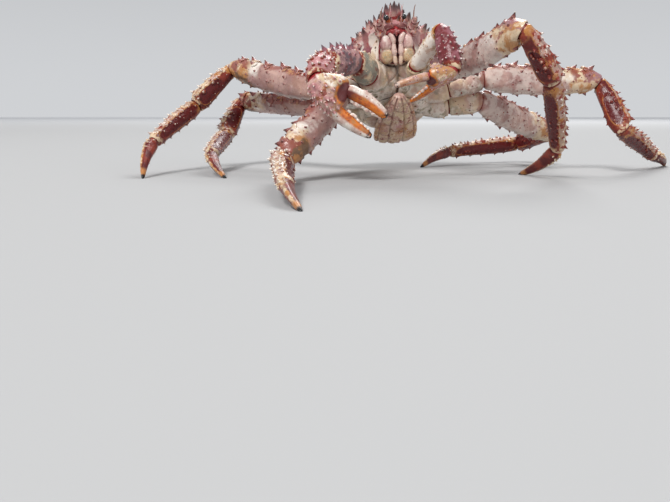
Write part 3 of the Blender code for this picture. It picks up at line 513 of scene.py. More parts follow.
# Ends of a segment: distance from its end in mm, share of the section, share of soft skin.
NECK = ((-4.2, 0.5, 1), (-3.6, 0.78, 1), (-2.9, 0.87, 1), (-2.2, 0.83, 1), (-1.5, 0.89, 1), (-0.9, 0.85, 1),
        (-0.3, 0.90, 1), (0.3, 0.88, 1), (0.8, 0.91, 0.9), (1.2, 0.94, 0.2), (1.6, 0.97, 0), (2.4, 1.0, 0),
        (3.6, 1.01, 0))
COLLAR = ((4.6, 1.0, 0), (3.6, 1.01, 0), (2.8, 1.035, 0), (2.0, 1.05, 0), (1.3, 1.055, 0), (0.7, 1.045, 0),
          (0.3, 1.02, 0), (0.1, 0.98, 0), (0.4, 0.95, 0.4), (1.4, 0.93, 1), (2.6, 0.90, 1), (3.4, 0.6, 1))
ARM_NECK = ((-4.2, 0.5, 1), (-3.4, 0.84, 1), (-2.6, 0.93, 1), (-1.9, 0.88, 1), (-1.2, 0.96, 1),
            (-0.6, 0.92, 1), (0.0, 0.98, 1), (0.5, 0.95, 1), (1.0, 0.96, 0.8), (1.5, 0.98, 0.1),
            (2.2, 1.0, 0), (3.6, 1.01, 0))
# How many rows of a collar lie outside, before it turns in to the soft skin.
OUTER_ROWS = 7
# How far apart the rings and the columns of a segment are.
SPACING = 1.0 * MM
# How far a joint's edge draws back above and below, between the two hinge knobs at its sides.
SCALLOP = 1.5 * MM
# A claw's socket carries no spines where it is deeper than this share.
BARE_SOCKET = 0.35
# Hinge knobs: distance from the segment's end and radius, in mm, and height as a share of that.
KNOB = (4.0, 3.4)
KNOB_RISE = 0.34


def limb_rings(tube, neck, collar):
    """Places, shares, skin and draw-back of the rings of a segment, closer at its two ends."""
    rows = [(gap * MM / tube.length, share, skin, 0.0) for gap, share, skin in neck]
    first = neck[-1][0] * MM if neck else 0.0
    last = tube.length - (collar[0][0] * MM if collar else 0.0)
    count = max(6, int((last - first) / SPACING))
    for i in range(count):
        rows.append(((first + (last - first) * (i + 0.5) / count) / tube.length, 1.0, 0.0, 0.0))
    for k, (gap, share, skin) in enumerate(collar):
        back = min(1.0, 1.3 - 0.3 * gap) if k < OUTER_ROWS else 1.0
        rows.append((1 - gap * MM / tube.length, share, skin, back))
    return np.array(rows).T


def limb_thorns(tube, rows, rng):
    """Thorns of a segment, from rows of (angle, first, last, number, length, radius, lean)."""
    thorns = []
    places = []
    for angle, first, last, number, length, radius, lean in rows:
        for i in range(number):
            t = first + (last - first) * (i + rng.uniform(0.3, 0.7)) / number
            place = math.radians(angle + rng.uniform(-6, 6))
            out = tube.facing(t, place)
            size = rng.uniform(0.78, 1.12)
            way = unit(out + tube.along * lean * 0.6)
            thorns.append((tube.point(t, place), way, tube.along * lean, length * size * MM,
                           radius * size * MM * 0.8))
            places.append((t, place))
    return thorns, places


def limb_warts(tube, number, rng):
    """Low warts scattered over a segment, each with a place and an angle."""
    thorns = []
    places = []
    for _ in range(number):
        t, place = rng.uniform(0.05, 0.93), rng.uniform(0, math.tau)
        size = rng.uniform(0.5, 1.25)
        thorns.append((tube.point(t, place), tube.facing(t, place), tube.along * 0.3, size * 1.1 * MM,
                       size * 0.75 * MM))
        places.append((t, place))
    return thorns, places


def wrap(angles):
    """Angles brought between -pi and pi."""
    return (angles + math.pi) % math.tau - math.pi


def window(places, angles, hollow):
    """How deep in a hollow of a segment's side each point lies, from 0 to 1."""
    angle, first, last, half = hollow
    middle, reach = (first + last) / 2, (last - first) / 2
    away = (wrap(angles - math.radians(angle))[None] / math.radians(half)) ** 2
    away = away + ((places[:, None] - middle) / reach) ** 4
    depth = np.clip((1.2 - away) / 0.9, 0, 1)
    return depth ** 2 * (3 - 2 * depth)


def add_limb(shape, tube, thorn_rows, rng, ridges=(), rough=0.25, neck=NECK, collar=COLLAR, tip=None,
             tint=0.0, warts=0, hollows=(), knobs=1.0, stain=None, shift=None):
    """Adds one segment with its joint ends, crests, hollows, spines and fine relief."""
    places, shares, skin, back = limb_rings(tube, neck, collar)
    around = math.pi * (max(r[1] for r in tube.sizes) + max(r[2] for r in tube.sizes)) * MM
    columns = max(16, int(around / SPACING))
    angles = np.arange(columns) * math.tau / columns
    grid = tube.grid(places, shares, angles)
    drawn = back[:, None] * ((1 + np.cos(2 * angles)) / 2)[None]
    grid -= (tube.end_normal * SCALLOP * knobs) * drawn[..., None]
    thorns, thorn_places = limb_thorns(tube, thorn_rows, rng)
    small, small_places = limb_warts(tube, warts, rng)
    normals = grid_normals(grid)
    ends = np.clip(np.minimum(places, 1 - places) * tube.length / (4 * MM), 0, 1)
    free = (1 - skin)[:, None] * ends[:, None]
    height = np.zeros(grid.shape[:2])
    for angle, width, rise in ridges:
        height += rise * MM * np.exp(-(wrap(angles - math.radians(angle)) / math.radians(width)) ** 2)[None]
    seen = np.zeros(grid.shape[:2])
    for *hollow, depth in hollows:
        seen = np.maximum(seen, window(places, angles, hollow))
        height -= depth * MM * window(places, angles, hollow)
    height += mounds(grid, thorns, *THORN_MOUND) + mounds(grid, small, *WART_MOUND)
    height += rough * MM * (grain(grid, 160, 3) + 0.5 * grain(grid, 600, 2))
    hinge = []
    for degrees in (90, -90):
        for gap in ((KNOB[0],) if neck else ()) + ((-KNOB[0],) if collar else ()):
            t = gap * MM / tube.length
            hinge.append((tube.point(t if gap > 0 else 1 + t, math.radians(degrees)), KNOB[1] * MM))
    knob = mounds(grid, hinge, KNOB_RISE * knobs, 1.0) * (1 - skin)[:, None]
    grid = grid + normals * (height * free + knob)[..., None]
    if tip is not None:
        last = grid[-1].mean(0)
        for share, reach in ((0.75, 0.45), (0.4, 0.8)):
            grid = np.concatenate((grid, (last + (grid[-1] - last) * share + tip * reach)[None]))
        places = np.append(places, (1.0, 1.0))
        skin = np.append(skin, (0.0, 0.0))
        seen = np.concatenate((seen, seen[-2:] * 0))
    if shift is not None:
        grid = shift(grid)
    grid[..., 2] = np.maximum(grid[..., 2], FLOOR)
    if stain is not None:
        seen = stain(grid)
    base = {"outer": np.cos(angles)[None], "side": np.sin(angles)[None], "tint": tint, "stain": seen}
    shape.add_rings(grid, {**base, "along": np.clip(places, 0, 1)[:, None], "skin": skin[:, None]})
    for group, spots, sides in ((thorns, thorn_places, 10), (small, small_places, 7)):
        if stain is not None:
            clear = [np.max(stain(thorn[0])) < BARE_SOCKET for thorn in group]
            group = [thorn for thorn, kept in zip(group, clear) if kept]
            spots = [spot for spot, kept in zip(spots, clear) if kept]
        if group:
            along, turn = np.array(spots).T
            add_thorns(shape, group, {"outer": np.cos(turn), "side": np.sin(turn), "along": along,
                                      "tint": tint}, sides)


# Spines of a leg's segments: angle in degrees, first and last place from 0 to 1, number, length
# and radius in mm, and lean towards the tip.
ISCHIUM_SPINES = ((0, 0.35, 0.95, 3, 5.5, 3.0, 0.5), (40, 0.4, 0.95, 2, 3.5, 2.0, 0.3),
                  (-40, 0.4, 0.95, 2, 3.5, 2.0, 0.3), (180, 0.5, 0.9, 1, 4, 2.2, 0.3))
MERUS_SPINES = ((0, 0.03, 0.97, 6, 8.0, 4.6, 0.9), (28, 0.1, 0.98, 5, 5.2, 3.2, 0.7),
                (-28, 0.1, 0.98, 5, 5.2, 3.2, 0.7), (180, 0.08, 0.95, 6, 4.8, 3.4, 0.6),
                (62, 0.2, 0.97, 4, 3.4, 2.2, 0.5), (-62, 0.2, 0.97, 4, 3.4, 2.2, 0.5),
                (95, 0.15, 0.9, 3, 2.4, 1.7, 0.5), (-95, 0.15, 0.9, 3, 2.4, 1.7, 0.5),
                (128, 0.2, 0.9, 2, 2.4, 1.7, 0.5), (-128, 0.2, 0.9, 2, 2.4, 1.7, 0.5))
CARPUS_SPINES = ((0, 0.06, 0.95, 5, 6.0, 3.0, 0.5), (30, 0.1, 0.97, 4, 5.0, 2.5, 0.4),
                 (-30, 0.1, 0.97, 4, 5.0, 2.5, 0.4), (58, 0.2, 0.95, 4, 3.0, 1.8, 0.3),
                 (-58, 0.2, 0.95, 4, 3.0, 1.8, 0.3), (180, 0.5, 0.95, 2, 2.8, 1.8, 0.3))
PROPODUS_SPINES = ((0, 0.04, 0.97, 9, 5.2, 2.6, 0.5), (30, 0.06, 0.95, 7, 4.2, 2.1, 0.4),
                   (-30, 0.06, 0.95, 7, 4.2, 2.1, 0.4), (180, 0.1, 0.95, 5, 2.8, 1.7, 0.4),
                   (56, 0.1, 0.95, 6, 2.2, 1.4, 0.3), (-56, 0.1, 0.95, 6, 2.2, 1.4, 0.3))
DACTYLUS_SPINES = ((0, 0.03, 0.3, 3, 3.2, 1.6, 0.5), (35, 0.04, 0.35, 3, 2.8, 1.3, 0.5),
                   (-35, 0.04, 0.35, 3, 2.8, 1.3, 0.5), (180, 0.12, 0.8, 8, 1.5, 0.8, 0.5),
                   (70, 0.03, 0.12, 1, 2.4, 1.2, 0.5), (-70, 0.03, 0.12, 1, 2.4, 1.2, 0.5))
# Crests of a leg: angle, width and rise; hollow sides: angle, first, last, half width, depth.
LEG_RIDGES = ((0, 18, 0.8), (180, 16, 0.3))
KNEE_HOLLOWS = ((90, 0.28, 0.92, 50, 1.4), (-90, 0.28, 0.92, 50, 1.4))
SHIN_HOLLOWS = ((98, 0.03, 0.96, 50, 0.9), (-98, 0.03, 0.96, 50, 0.9))
TOE_HOLLOWS = ((90, 0.1, 0.85, 40, 0.5), (-90, 0.1, 0.85, 40, 0.5))


def chain(start, steps):
    """Joint points and directions of a limb from its hip."""
    points, ways = [start], []
    for azimuth, elevation, length in steps:
        way = aim(azimuth, elevation)
        ways.append(way)
        points.append(points[-1] + way * (length * MM))
    return points, ways


def joint_normals(ways):
    """The normal of each joint's face, half way between the segments that meet there."""
    return [unit(a + b) for a, b in zip(ways, ways[1:])]


def make_leg(name, finishes, rng):
    """The five free segments of one walking leg; returns the coxa that carries them."""
    hip, steps, (toe_azimuth, toe_length), thigh_edge, shin_edge = LEGS[name]
    side = name.split("_")[1]
    points, ways = chain(to_world(hip), steps)
    drop = points[-1][2] - FLOOR
    ways.append(aim(toe_azimuth, -math.degrees(math.asin(drop / (toe_length * MM)))))
    points.append(points[-1] + ways[-1] * (toe_length * MM))
    coxa_end = points[0] + ways[0] * COXA_LENGTH
    normals = [ways[0]] + joint_normals(ways) + [ways[-1]]
    starts = [coxa_end] + points[1:5]
    edges = [thigh_edge] * 2 + [shin_edge] * 3
    kinds = (("ischium", ISCHIUM, ISCHIUM_SPINES, "thigh_shell", 24, ()),
             ("merus", MERUS, MERUS_SPINES, "thigh_shell", 90, ()),
             ("carpus", CARPUS, CARPUS_SPINES, "shin_shell", 40, KNEE_HOLLOWS),
             ("propodus", PROPODUS, PROPODUS_SPINES, "shin_shell", 50, SHIN_HOLLOWS),
             ("dactylus", DACTYLUS, DACTYLUS_SPINES, "toe_horn", 0, TOE_HOLLOWS))
    for k, (kind, sizes, spines, slot, warts, hollows) in enumerate(kinds):
        toe = kind == "dactylus"
        first = starts[k] + normals[k] * (GAP / 2)
        last = points[k + 1] - normals[k + 1] * (0 if toe else GAP / 2)
        tube = Tube(first, last, normals[k], normals[k + 1], edges[k], sizes, DACTYLUS_BOW if toe else 0.0)
        shape = Shape()
        add_limb(shape, tube, spines, rng, LEG_RIDGES, 0.12 if toe else 0.25, collar=() if toe else COLLAR,
                 tip=ways[-1] * TIP_LENGTH if toe else None, warts=warts, hollows=hollows,
                 knobs=0.5 if toe else 1.0)
        finish = finishes[kind if kind in finishes else f"{side}_{kind}"]
        shape.make(f"shell_{name}_{kind}", finish, [f"{name}_{kind}"])
    return Tube(points[0] - ways[0] * COXA_ROOT, coxa_end - ways[0] * (GAP / 2), ways[0], ways[0],
                thigh_edge, COXA)


# Spines of a claw arm's segments, as for a leg.
ARM_ISCHIUM_SPINES = ((0, 0.3, 0.9, 3, 5, 2.4, 0.3), (40, 0.3, 0.9, 2, 4, 2, 0.3),
                      (-40, 0.3, 0.9, 2, 4, 2, 0.3))
ARM_MERUS_SPINES = ((0, 0.08, 0.97, 5, 9, 4.4, 0.3), (34, 0.12, 0.97, 5, 8, 4.0, 0.3),
                    (-34, 0.12, 0.97, 5, 8, 4.0, 0.3), (68, 0.2, 0.95, 4, 4.5, 2.4, 0.3),
                    (-68, 0.2, 0.95, 4, 4.5, 2.4, 0.3), (105, 0.3, 0.9, 3, 2.6, 1.7, 0.3),
                    (-105, 0.3, 0.9, 3, 2.6, 1.7, 0.3), (150, 0.3, 0.9, 3, 2.2, 1.5, 0.3))
ARM_CARPUS_SPINES = ((0, 0.05, 0.95, 5, 7.0, 3.0, 0.3), (32, 0.08, 0.9, 5, 6, 2.6, 0.3),
                     (-32, 0.08, 0.9, 5, 6, 2.6, 0.3), (64, 0.12, 0.9, 4, 4.8, 2.3, 0.3),
                     (-64, 0.12, 0.9, 4, 4.8, 2.3, 0.3), (95, 0.15, 0.9, 4, 3.8, 1.9, 0.3),
                     (-95, 0.15, 0.9, 4, 3.8, 1.9, 0.3), (130, 0.3, 0.9, 3, 2.6, 1.5, 0.3),
                     (-130, 0.3, 0.9, 3, 2.6, 1.5, 0.3))
PALM_SPINES = ((180, 0.08, 0.97, 7, 4.6, 2.2, 0.6), (160, 0.12, 0.97, 7, 4.6, 2.2, 0.6),
               (-160, 0.12, 0.97, 7, 4.6, 2.2, 0.6), (139, 0.08, 0.95, 6, 4.2, 2.1, 0.6),
               (-139, 0.08, 0.95, 6, 4.2, 2.1, 0.6), (117, 0.12, 0.9, 5, 3.8, 2.0, 0.6),
               (-117, 0.12, 0.9, 5, 3.8, 2.0, 0.6), (90, 0.1, 0.7, 4, 3.2, 1.9, 0.5),
               (-90, 0.1, 0.7, 4, 3.2, 1.9, 0.5), (-55, 0.1, 0.6, 3, 3.4, 1.9, 0.4),
               (55, 0.1, 0.6, 3, 3.4, 1.9, 0.4), (12, 0.2, 0.8, 3, 4.4, 2.2, 0.4),
               (-14, 0.15, 0.78, 3, 4.4, 2.2, 0.4))
FINGER_SPINES = ((0, 0.3, 0.5, 2, 2.0, 1.6, 0.3),)
ARM_RIDGES = ((0, 16, 0.6), (180, 18, 0.3))
# Teeth of the fingers: places along, and half width in mm; the palm hides the first of the fixed one.
TEETH = ((0.18, 3.2), (0.31, 4.3), (0.44, 3.4), (0.55, 4.0), (0.66, 2.7), (0.75, 3.0), (0.83, 2.1),
         (0.9, 1.7))
FIXED_TEETH_START = 0.4


def scaled(rows, share):
    """Size rows of a smaller limb."""
    return tuple((row[0],) + tuple(value * share for value in row[1:]) for row in rows)


def scaled_spines(rows, share):
    """Spine rows of a smaller limb."""
    return tuple(row[:4] + (row[4] * share, row[5] * share, row[6]) for row in rows)


def add_teeth(shape, tube, share, rng, start=0.0):
    """Rounded molar teeth along a finger's inner edge, beyond its start."""
    columns, rows = 16, 7
    angles = np.arange(columns) * math.tau / columns
    for place, half in TEETH:
        if place < start:
            continue
        size = half * share * rng.uniform(0.85, 1.1) * MM
        high = size * rng.uniform(0.75, 1.05)
        root = tube.point(place, math.pi, 0.88)
        out = tube.facing(place, math.pi)
        wide = np.cross(out, tube.along)
        lean = tube.along * size * rng.uniform(-0.3, 0.3)
        lumps = 1 + 0.12 * np.sin(3 * angles + rng.uniform(0, 6))
        rings = []
        for k in range(rows):
            turn = math.pi / 2 * k / (rows - 0.5)
            spread = math.cos(turn) ** 0.55 * lumps
            rings.append(root + (out * high + lean) * math.sin(turn) + out * size * 0.25
                         + np.outer(np.cos(angles) * spread, tube.along) * size * 1.1
                         + np.outer(np.sin(angles) * spread, wide) * size * 0.8)
        shape.add_rings(np.array(rings), {"skin": -1.0, "along": place})


def make_arm(name, finishes, rng):
    """The free segments of one claw arm; returns the coxa that carries them."""
    hip, steps, (azimuth, elevation, palm_length), fingers, finger_side, edge, shares = ARMS[name]
    share, claw_share = shares
    points, ways = chain(to_world(hip), steps)
    way = aim(azimuth, elevation)
    normals = [ways[0]] + joint_normals(ways + [way]) + [way]
    coxa_end = points[0] + ways[0] * COXA_LENGTH * share
    starts = [coxa_end] + points[1:3]
    kinds = (("ischium", ARM_ISCHIUM, ARM_ISCHIUM_SPINES), ("merus", ARM_MERUS, ARM_MERUS_SPINES),
             ("carpus", ARM_CARPUS, ARM_CARPUS_SPINES))
    for k, (kind, sizes, spines) in enumerate(kinds):
        if kind == "merus":
            sizes = (sizes[0], *scaled(sizes[1:-1], SLIM[name][1]), sizes[-1])
        tube = Tube(starts[k] + normals[k] * (GAP / 2), points[k + 1] - normals[k + 1] * (GAP / 2),
                    normals[k], normals[k + 1], edge, scaled(sizes, share))
        shape = Shape()
        add_limb(shape, tube, scaled_spines(spines, share), rng, ARM_RIDGES, 0.3, warts=30, neck=ARM_NECK)
        shape.make(f"shell_{name}_{kind}", finishes[f"{name}_{kind}"], [f"{name}_{kind}"])
    palm = (points[3], normals[3], way, palm_length * MM, across(finger_side, way),
            scaled(PALM[:1], share) + scaled(PALM[1:], claw_share))
    make_claw(name, finishes, rng, palm, fingers, claw_share)
    return Tube(points[0] - ways[0] * COXA_ROOT, coxa_end - ways[0] * (GAP / 2), ways[0], ways[0],
                edge, scaled(ARM_COXA, share))


# The palm's round end, and the root of a finger that grows out of it.
PALM_END = ((7.5, 1.0, 0), (5.6, 0.985, 0), (4.0, 0.95, 0), (2.6, 0.9, 0), (1.4, 0.81, 0), (0.6, 0.68, 0),
            (0.1, 0.45, 0), (-0.1, 0.2, 0))
FINGER_NECK = ((-5.0, 0.6, 1), (-3.4, 0.78, 1), (-2.0, 0.84, 1), (-0.8, 0.88, 0.7), (0.2, 0.94, 0),
               (1.2, 1.0, 0))
FIXED_NECK = ((0.0, 0.9, 0), (1.0, 0.97, 0))
# The fixed finger as the palm's narrowing end, from well inside it, and a slimmer movable one.
FIXED_BLEND = 12 * MM
FIXED_BLEND_SIZES = ((0, 6.0, 6.0, 0), (0.2, 8.0, 7.6, 0), (0.38, 8.4, 7.6, 0), (0.6, 7.0, 6.4, 0),
                     (0.82, 5.4, 5.0, 0), (0.95, 3.9, 3.7, 0), (1, 2.7, 2.6, 0))
MOVABLE_SLIM_SIZES = ((0, 7.6, 7.2, 0), (0.15, 8.2, 7.0, 0), (0.5, 7.6, 6.4, 0), (0.8, 6.4, 5.6, 0),
                      (0.94, 5.2, 4.6, 0), (1, 3.6, 3.4, 0))
# The horny socket between the fingers' roots: place and reach along the palm and across it,
# how much it thins the palm, and how deep the movable finger's root is sunk, in mm.
SOCKET = ((-6.5, 12.5), (7.5, 15.0))
SOCKET_THINNING = 0.34
SOCKET_DEPTH = 6.0
SOCKET_RIM = 11.0
# How slim the movable finger and the upper arm are, as shares of their solids.
SLIM = {"claw_right": (0.96, 1.0), "claw_left": (0.9, 0.86)}
# How far the fixed and the movable finger splay, as shares of the angles of the solids.
SPLAY = (0.72, 1.5)


def make_claw(name, finishes, rng, palm_place, fingers, share):
    """Palm with its fixed finger as one piece, and the movable finger that hinges on it."""
    wrist, wrist_normal, way, palm_length, side, palm_sizes = palm_place
    (fixed_length, fixed_splay), (moving_length, moving_splay) = fingers
    palm_end = wrist + way * palm_length
    palm = Tube(wrist + wrist_normal * (GAP / 2), palm_end, wrist_normal, way, side, palm_sizes)
    reach = FINGER_REACH * share
    flat = np.cross(way, side)
    fixed = finger_tube(palm_end - side * reach - way * (FINGER_ROOT + FIXED_BLEND), way, -side,
                        fixed_length * MM + FINGER_ROOT + FIXED_BLEND, fixed_splay * SPLAY[0],
                        FIXED_BLEND_SIZES, share)
    root = palm_end + side * reach * 0.9 - way * (SOCKET_DEPTH * share * MM)
    moving = finger_tube(root, way, side, (moving_length + SOCKET_DEPTH * share) * MM,
                         moving_splay * SPLAY[1], MOVABLE_SLIM_SIZES, share * SLIM[name][0])

    def socket(grid):
        """How deep in the horny socket points lie, from 0 to 1."""
        away = 0.0
        for axis, (place, spread) in zip((way, side), SOCKET):
            away = away + (((grid - palm_end) @ axis / (share * MM) - place) / spread) ** 2
        return np.exp(-(away ** 1.5))

    def sink(grid):
        """Hollows the palm's end at the movable finger's root and thins it at the socket."""
        away = np.linalg.norm(grid - (palm_end + side * reach * 1.2), axis=-1) / (SOCKET_RIM * share * MM)
        thick = (grid - palm_end) @ flat * SOCKET_THINNING * socket(grid)
        grid = grid - way * (SOCKET_DEPTH * share * MM * np.exp(-(away ** 3)))[..., None]
        return grid - flat * thick[..., None]

    hand = Shape()
    add_limb(hand, palm, scaled_spines(PALM_SPINES, share), rng, (), 0.3, collar=PALM_END, warts=90,
             stain=socket, knobs=0.6, shift=sink, neck=ARM_NECK)
    add_limb(hand, fixed, (), rng, (), 0.25, neck=FIXED_NECK, collar=(), tip=fixed.end_normal * TIP_LENGTH,
             tint=1.0, knobs=0.0, stain=socket)
    add_teeth(hand, fixed, share, rng, start=FIXED_TEETH_START)
    hand.make(f"shell_{name}_propodus", finishes[name], [f"{name}_propodus"])
    finger = Shape()
    add_limb(finger, moving, FINGER_SPINES, rng, (), 0.25, neck=FINGER_NECK, collar=(),
             tip=moving.end_normal * TIP_LENGTH, tint=1.0, knobs=0.0)
    add_teeth(finger, moving, share, rng)
    finger.make(f"shell_{name}_dactylus", finishes[name], [f"{name}_dactylus"])


def finger_tube(start, way, side, length, splay, sizes, share):
    """A finger that leaves the palm's end at an angle and curves back towards the other one."""
    turn = math.radians(splay)
    ahead = way * math.cos(turn) + side * math.sin(turn)
    return Tube(start, start + ahead * length, way, unit(ahead - side * FINGER_CURL), side,
                scaled(sizes, share), FINGER_BOW * share)


# The back shell.

# Grooves of the back: points across and ahead on the left side, half width and depth, in mm.
GROOVES = ((((4, 4), (22, 6), (36, 18), (47, 36)), 2.2, 1.6),
           (((8, -10), (15, -22), (17, -45), (12, -62)), 2.0, 1.3),
           (((0, -10), (10, -9), (22, -2)), 2.2, 1.4),
           (((20, 30), (30, 24), (42, 26)), 1.6, 0.8),
           (((22, -6), (44, -12), (66, -14)), 1.8, 0.8),
           (((6, -58), (30, -56), (50, -48)), 1.8, 0.9))
# Spines of the face on the left side and in the middle: root, tip and radius in mm.
FACE_SPINES = (
    ((0, 62, 9), (0, 96, 14), 9.0), ((6, 60, 15), (8, 84, 25), 6.7), ((0, 56, 22), (0, 76, 36), 6.7),
    ((15, 60, 6), (18, 85, 7), 6.2), ((30, 50, 0), (38, 72, 0), 6.5), ((3.4, 64, 5), (5, 86, 3), 4.1),
    ((22, 56, 6), (27, 75, 10), 5.0), ((3.5, 58, 17), (5, 77, 31), 4.1), ((11, 57, 14), (14, 76, 22), 5.0),
    ((8.5, 62, 8), (11, 84, 14), 4.3), ((17, 52, 15), (21, 67, 27), 4.8), ((8, 50, 25), (10, 64, 38), 4.6),
    ((25, 50, 12), (31, 64, 22), 4.6), ((36, 44, 4), (44, 58, 9), 4.6), ((2.5, 66, 12), (4, 88, 18), 3.8),
)
# Where the spines of the rim and the back stand: places ahead in mm, and angles in degrees.
RIM_SPINE_PLACES = (-66, -54, -41, -28, -15, -2, 10, 21, 32, 43)
BACK_SPINE_PLACES = (-62, -47, -32, -17, -3, 11, 25, 38, 50)
BACK_SPINE_ANGLES = (28, 58, 90, 122, 152)
BACK_LEAN = 0.35
GRANULES = 420
BACK_ROWS = 170
BACK_COLUMNS = 380


def groove_depth(u, v):
    """How deep the grooves cut at places across and ahead, in mm."""
    total = np.zeros(np.shape(u))
    for line, width, depth in GROOVES:
        nearest = np.full(np.shape(u), 1e9)
        for (x0, y0), (x1, y1) in zip(line, line[1:]):
            run = (x1 - x0) ** 2 + (y1 - y0) ** 2
            t = np.clip(((abs(u) - x0) * (x1 - x0) + (v - y0) * (y1 - y0)) / run, 0, 1)
            nearest = np.minimum(nearest, (abs(u) - x0 - t * (x1 - x0)) ** 2 + (v - y0 - t * (y1 - y0)) ** 2)
        total += depth * np.exp(-nearest / width**2)
    return total


def relief(u, v):
    """Height that the back's swellings and hollows add at places, in mm."""
    total = np.zeros(np.shape(u))
    for x, y, spread_x, spread_y, height in SWELLINGS:
        total += height * np.exp(-((u - x) / spread_x) ** 2 - ((v - y) / spread_y) ** 2)
    return total


def carapace_ring(v, angles):
    """One section of the carapace in mm; angle 0 is its left rim and 90 degrees its crown."""
    half = smooth_read(PLAN, v)[0]
    crown = smooth_read(CROWN, v)[0]
    floor = smooth_read(UNDERSIDE, v)[0]
    c, s = np.cos(angles), np.sin(angles)
    u = np.where(s >= 0, half * c, half * (RIM_TURN + (1 - RIM_TURN) * np.clip(1 + s, 0, 1) ** 1.5)
                 * abs(c) ** 0.5 * np.sign(c))
    over = np.clip(s, 0, 1)
    dome = RIM + (crown - RIM) * over ** DOME + (relief(u, v) - groove_depth(u, v)) * over
    under = RIM + (floor - RIM) * np.minimum(1.0, -s * 1.6)
    return np.stack((u, np.full(len(u), float(v)), np.where(s >= 0, dome, under)), -1)


def carapace_spot(v, angle):
    """A point of the carapace and its outward direction, in mm along the body's axes."""
    near = np.array((angle, angle + 0.03, angle - 0.03))
    ring = carapace_ring(v, near)
    along = carapace_ring(v + 1, near)[0] - carapace_ring(v - 1, near)[0]
    out = unit(np.cross(along, ring[1] - ring[2]))
    return ring[0], out if out @ (ring[0] - np.array((0, v, RIM))) > 0 else -out


def even_angles(count):
    """Angles that share the widest section of the carapace evenly."""
    dense = np.linspace(0, math.tau, 2000, endpoint=False)
    ring = carapace_ring(-20, dense)
    steps = np.linalg.norm(np.diff(ring, axis=0, append=ring[:1]), axis=-1)
    run = np.concatenate(((0,), np.cumsum(steps)))
    return np.interp(np.arange(count) * run[-1] / count, run, np.append(dense, math.tau))


def make_carapace(finish, rng):
    """The back shell with its rostrum, grooves, spines and granules."""
    thorns = []
    tints = []

    def plant(v, angle, length, radius):
        """Adds a spine that leans ahead, with a length and a radius in mm."""
        spot, out = carapace_spot(v, angle)
        size = rng.uniform(0.8, 1.15)
        way = unit(out + np.array((0, BACK_LEAN, 0)))
        thorns.append((to_world(spot), way @ AXES, AHEAD * BACK_LEAN, length * size * MM, radius * size * MM))
        tints.append(rng.random())

    for v in RIM_SPINE_PLACES:
        for angle in (0.0, math.pi):
            plant(v + rng.uniform(-2, 2), angle, 8.5, 3.0)
            plant(v + 6 + rng.uniform(-2, 2), angle, 4.0, 1.8)
            plant(v + rng.uniform(-2, 5), angle + 0.16 * (1 if angle == 0 else -1), 4.5, 2.0)
    for v in BACK_SPINE_PLACES:
        for degrees in BACK_SPINE_ANGLES:
            plant(v + rng.uniform(-3, 3), math.radians(degrees + rng.uniform(-7, 7)), 7.5, 3.2)
            plant(v + 7 + rng.uniform(-3, 3), math.radians(degrees + 15 + rng.uniform(-7, 7)), 4.2, 2.2)
    big = len(thorns)
    for _ in range(GRANULES):
        plant(rng.uniform(-70, 66), math.radians(rng.uniform(4, 176)), rng.uniform(0.9, 2.2),
              rng.uniform(0.9, 1.5))
    small = len(thorns)
    for root, tip, radius in FACE_SPINES:
        for side in (1, -1) if root[0] else (1,):
            thorns.append(face_thorn(root, tip, radius, side, 0.06))
            tints.append(0.5)
    angles = even_angles(BACK_COLUMNS)
    stations = np.concatenate(((-77.1, -76.9, -76.5), np.linspace(-FRONT, FRONT, BACK_ROWS),
                               (76.4, 76.8, 77.0)))
    shares = np.concatenate(((0.35, 0.7, 0.9), np.ones(BACK_ROWS), (0.9, 0.7, 0.35)))
    rings = []
    for v, share in zip(stations, shares):
        ring = carapace_ring(min(max(v, -FRONT), FRONT), angles)
        middle = ring.mean(0)
        ring = middle + (ring - middle) * share
        ring[:, 1] = v
        rings.append(ring)
    local = np.array(rings)
    grid = to_world(local)
    normals = grid_normals(grid)
    height = mounds(grid, thorns[:big], 0.35, 2.1) + mounds(grid, thorns[big:small], *WART_MOUND)
    height += 0.35 * MM * (grain(grid, 120, 3) + 0.6 * grain(grid, 500, 2))
    full = (shares == 1.0)[:, None] * np.clip(np.sin(angles) * 6 + 1, 0, 1)[None]
    grid = grid + normals * (height * full)[..., None]
    shape = Shape()
    shape.add_rings(grid, {"outer": np.sin(angles)[None], "side": np.cos(angles)[None],
                           "along": ((stations + FRONT) / (2 * FRONT))[:, None],
                           "tint": groove_depth(local[..., 0], local[..., 1])})
    add_thorns(shape, thorns, {"outer": 1.0, "tint": np.array(tints)})
    shape.make("shell_carapace", finish, ["carapace"])


# The underbody and the tail.

def smooth_loop(points, count):
    """Points spaced evenly in number round a smooth closed curve through the given ones."""
    points = np.asarray(points, float)
    spots = np.arange(count) * len(points) / count
    k = spots.astype(int)
    t = (spots - k)[:, None]
    a, b = points[k - 1], points[k]
    c, d = points[(k + 1) % len(points)], points[(k + 2) % len(points)]
    return 0.5 * (2 * b + (c - a) * t + (2 * a - 5 * b + 4 * c - d) * t**2 + (3 * b - a - 3 * c + d) * t**3)


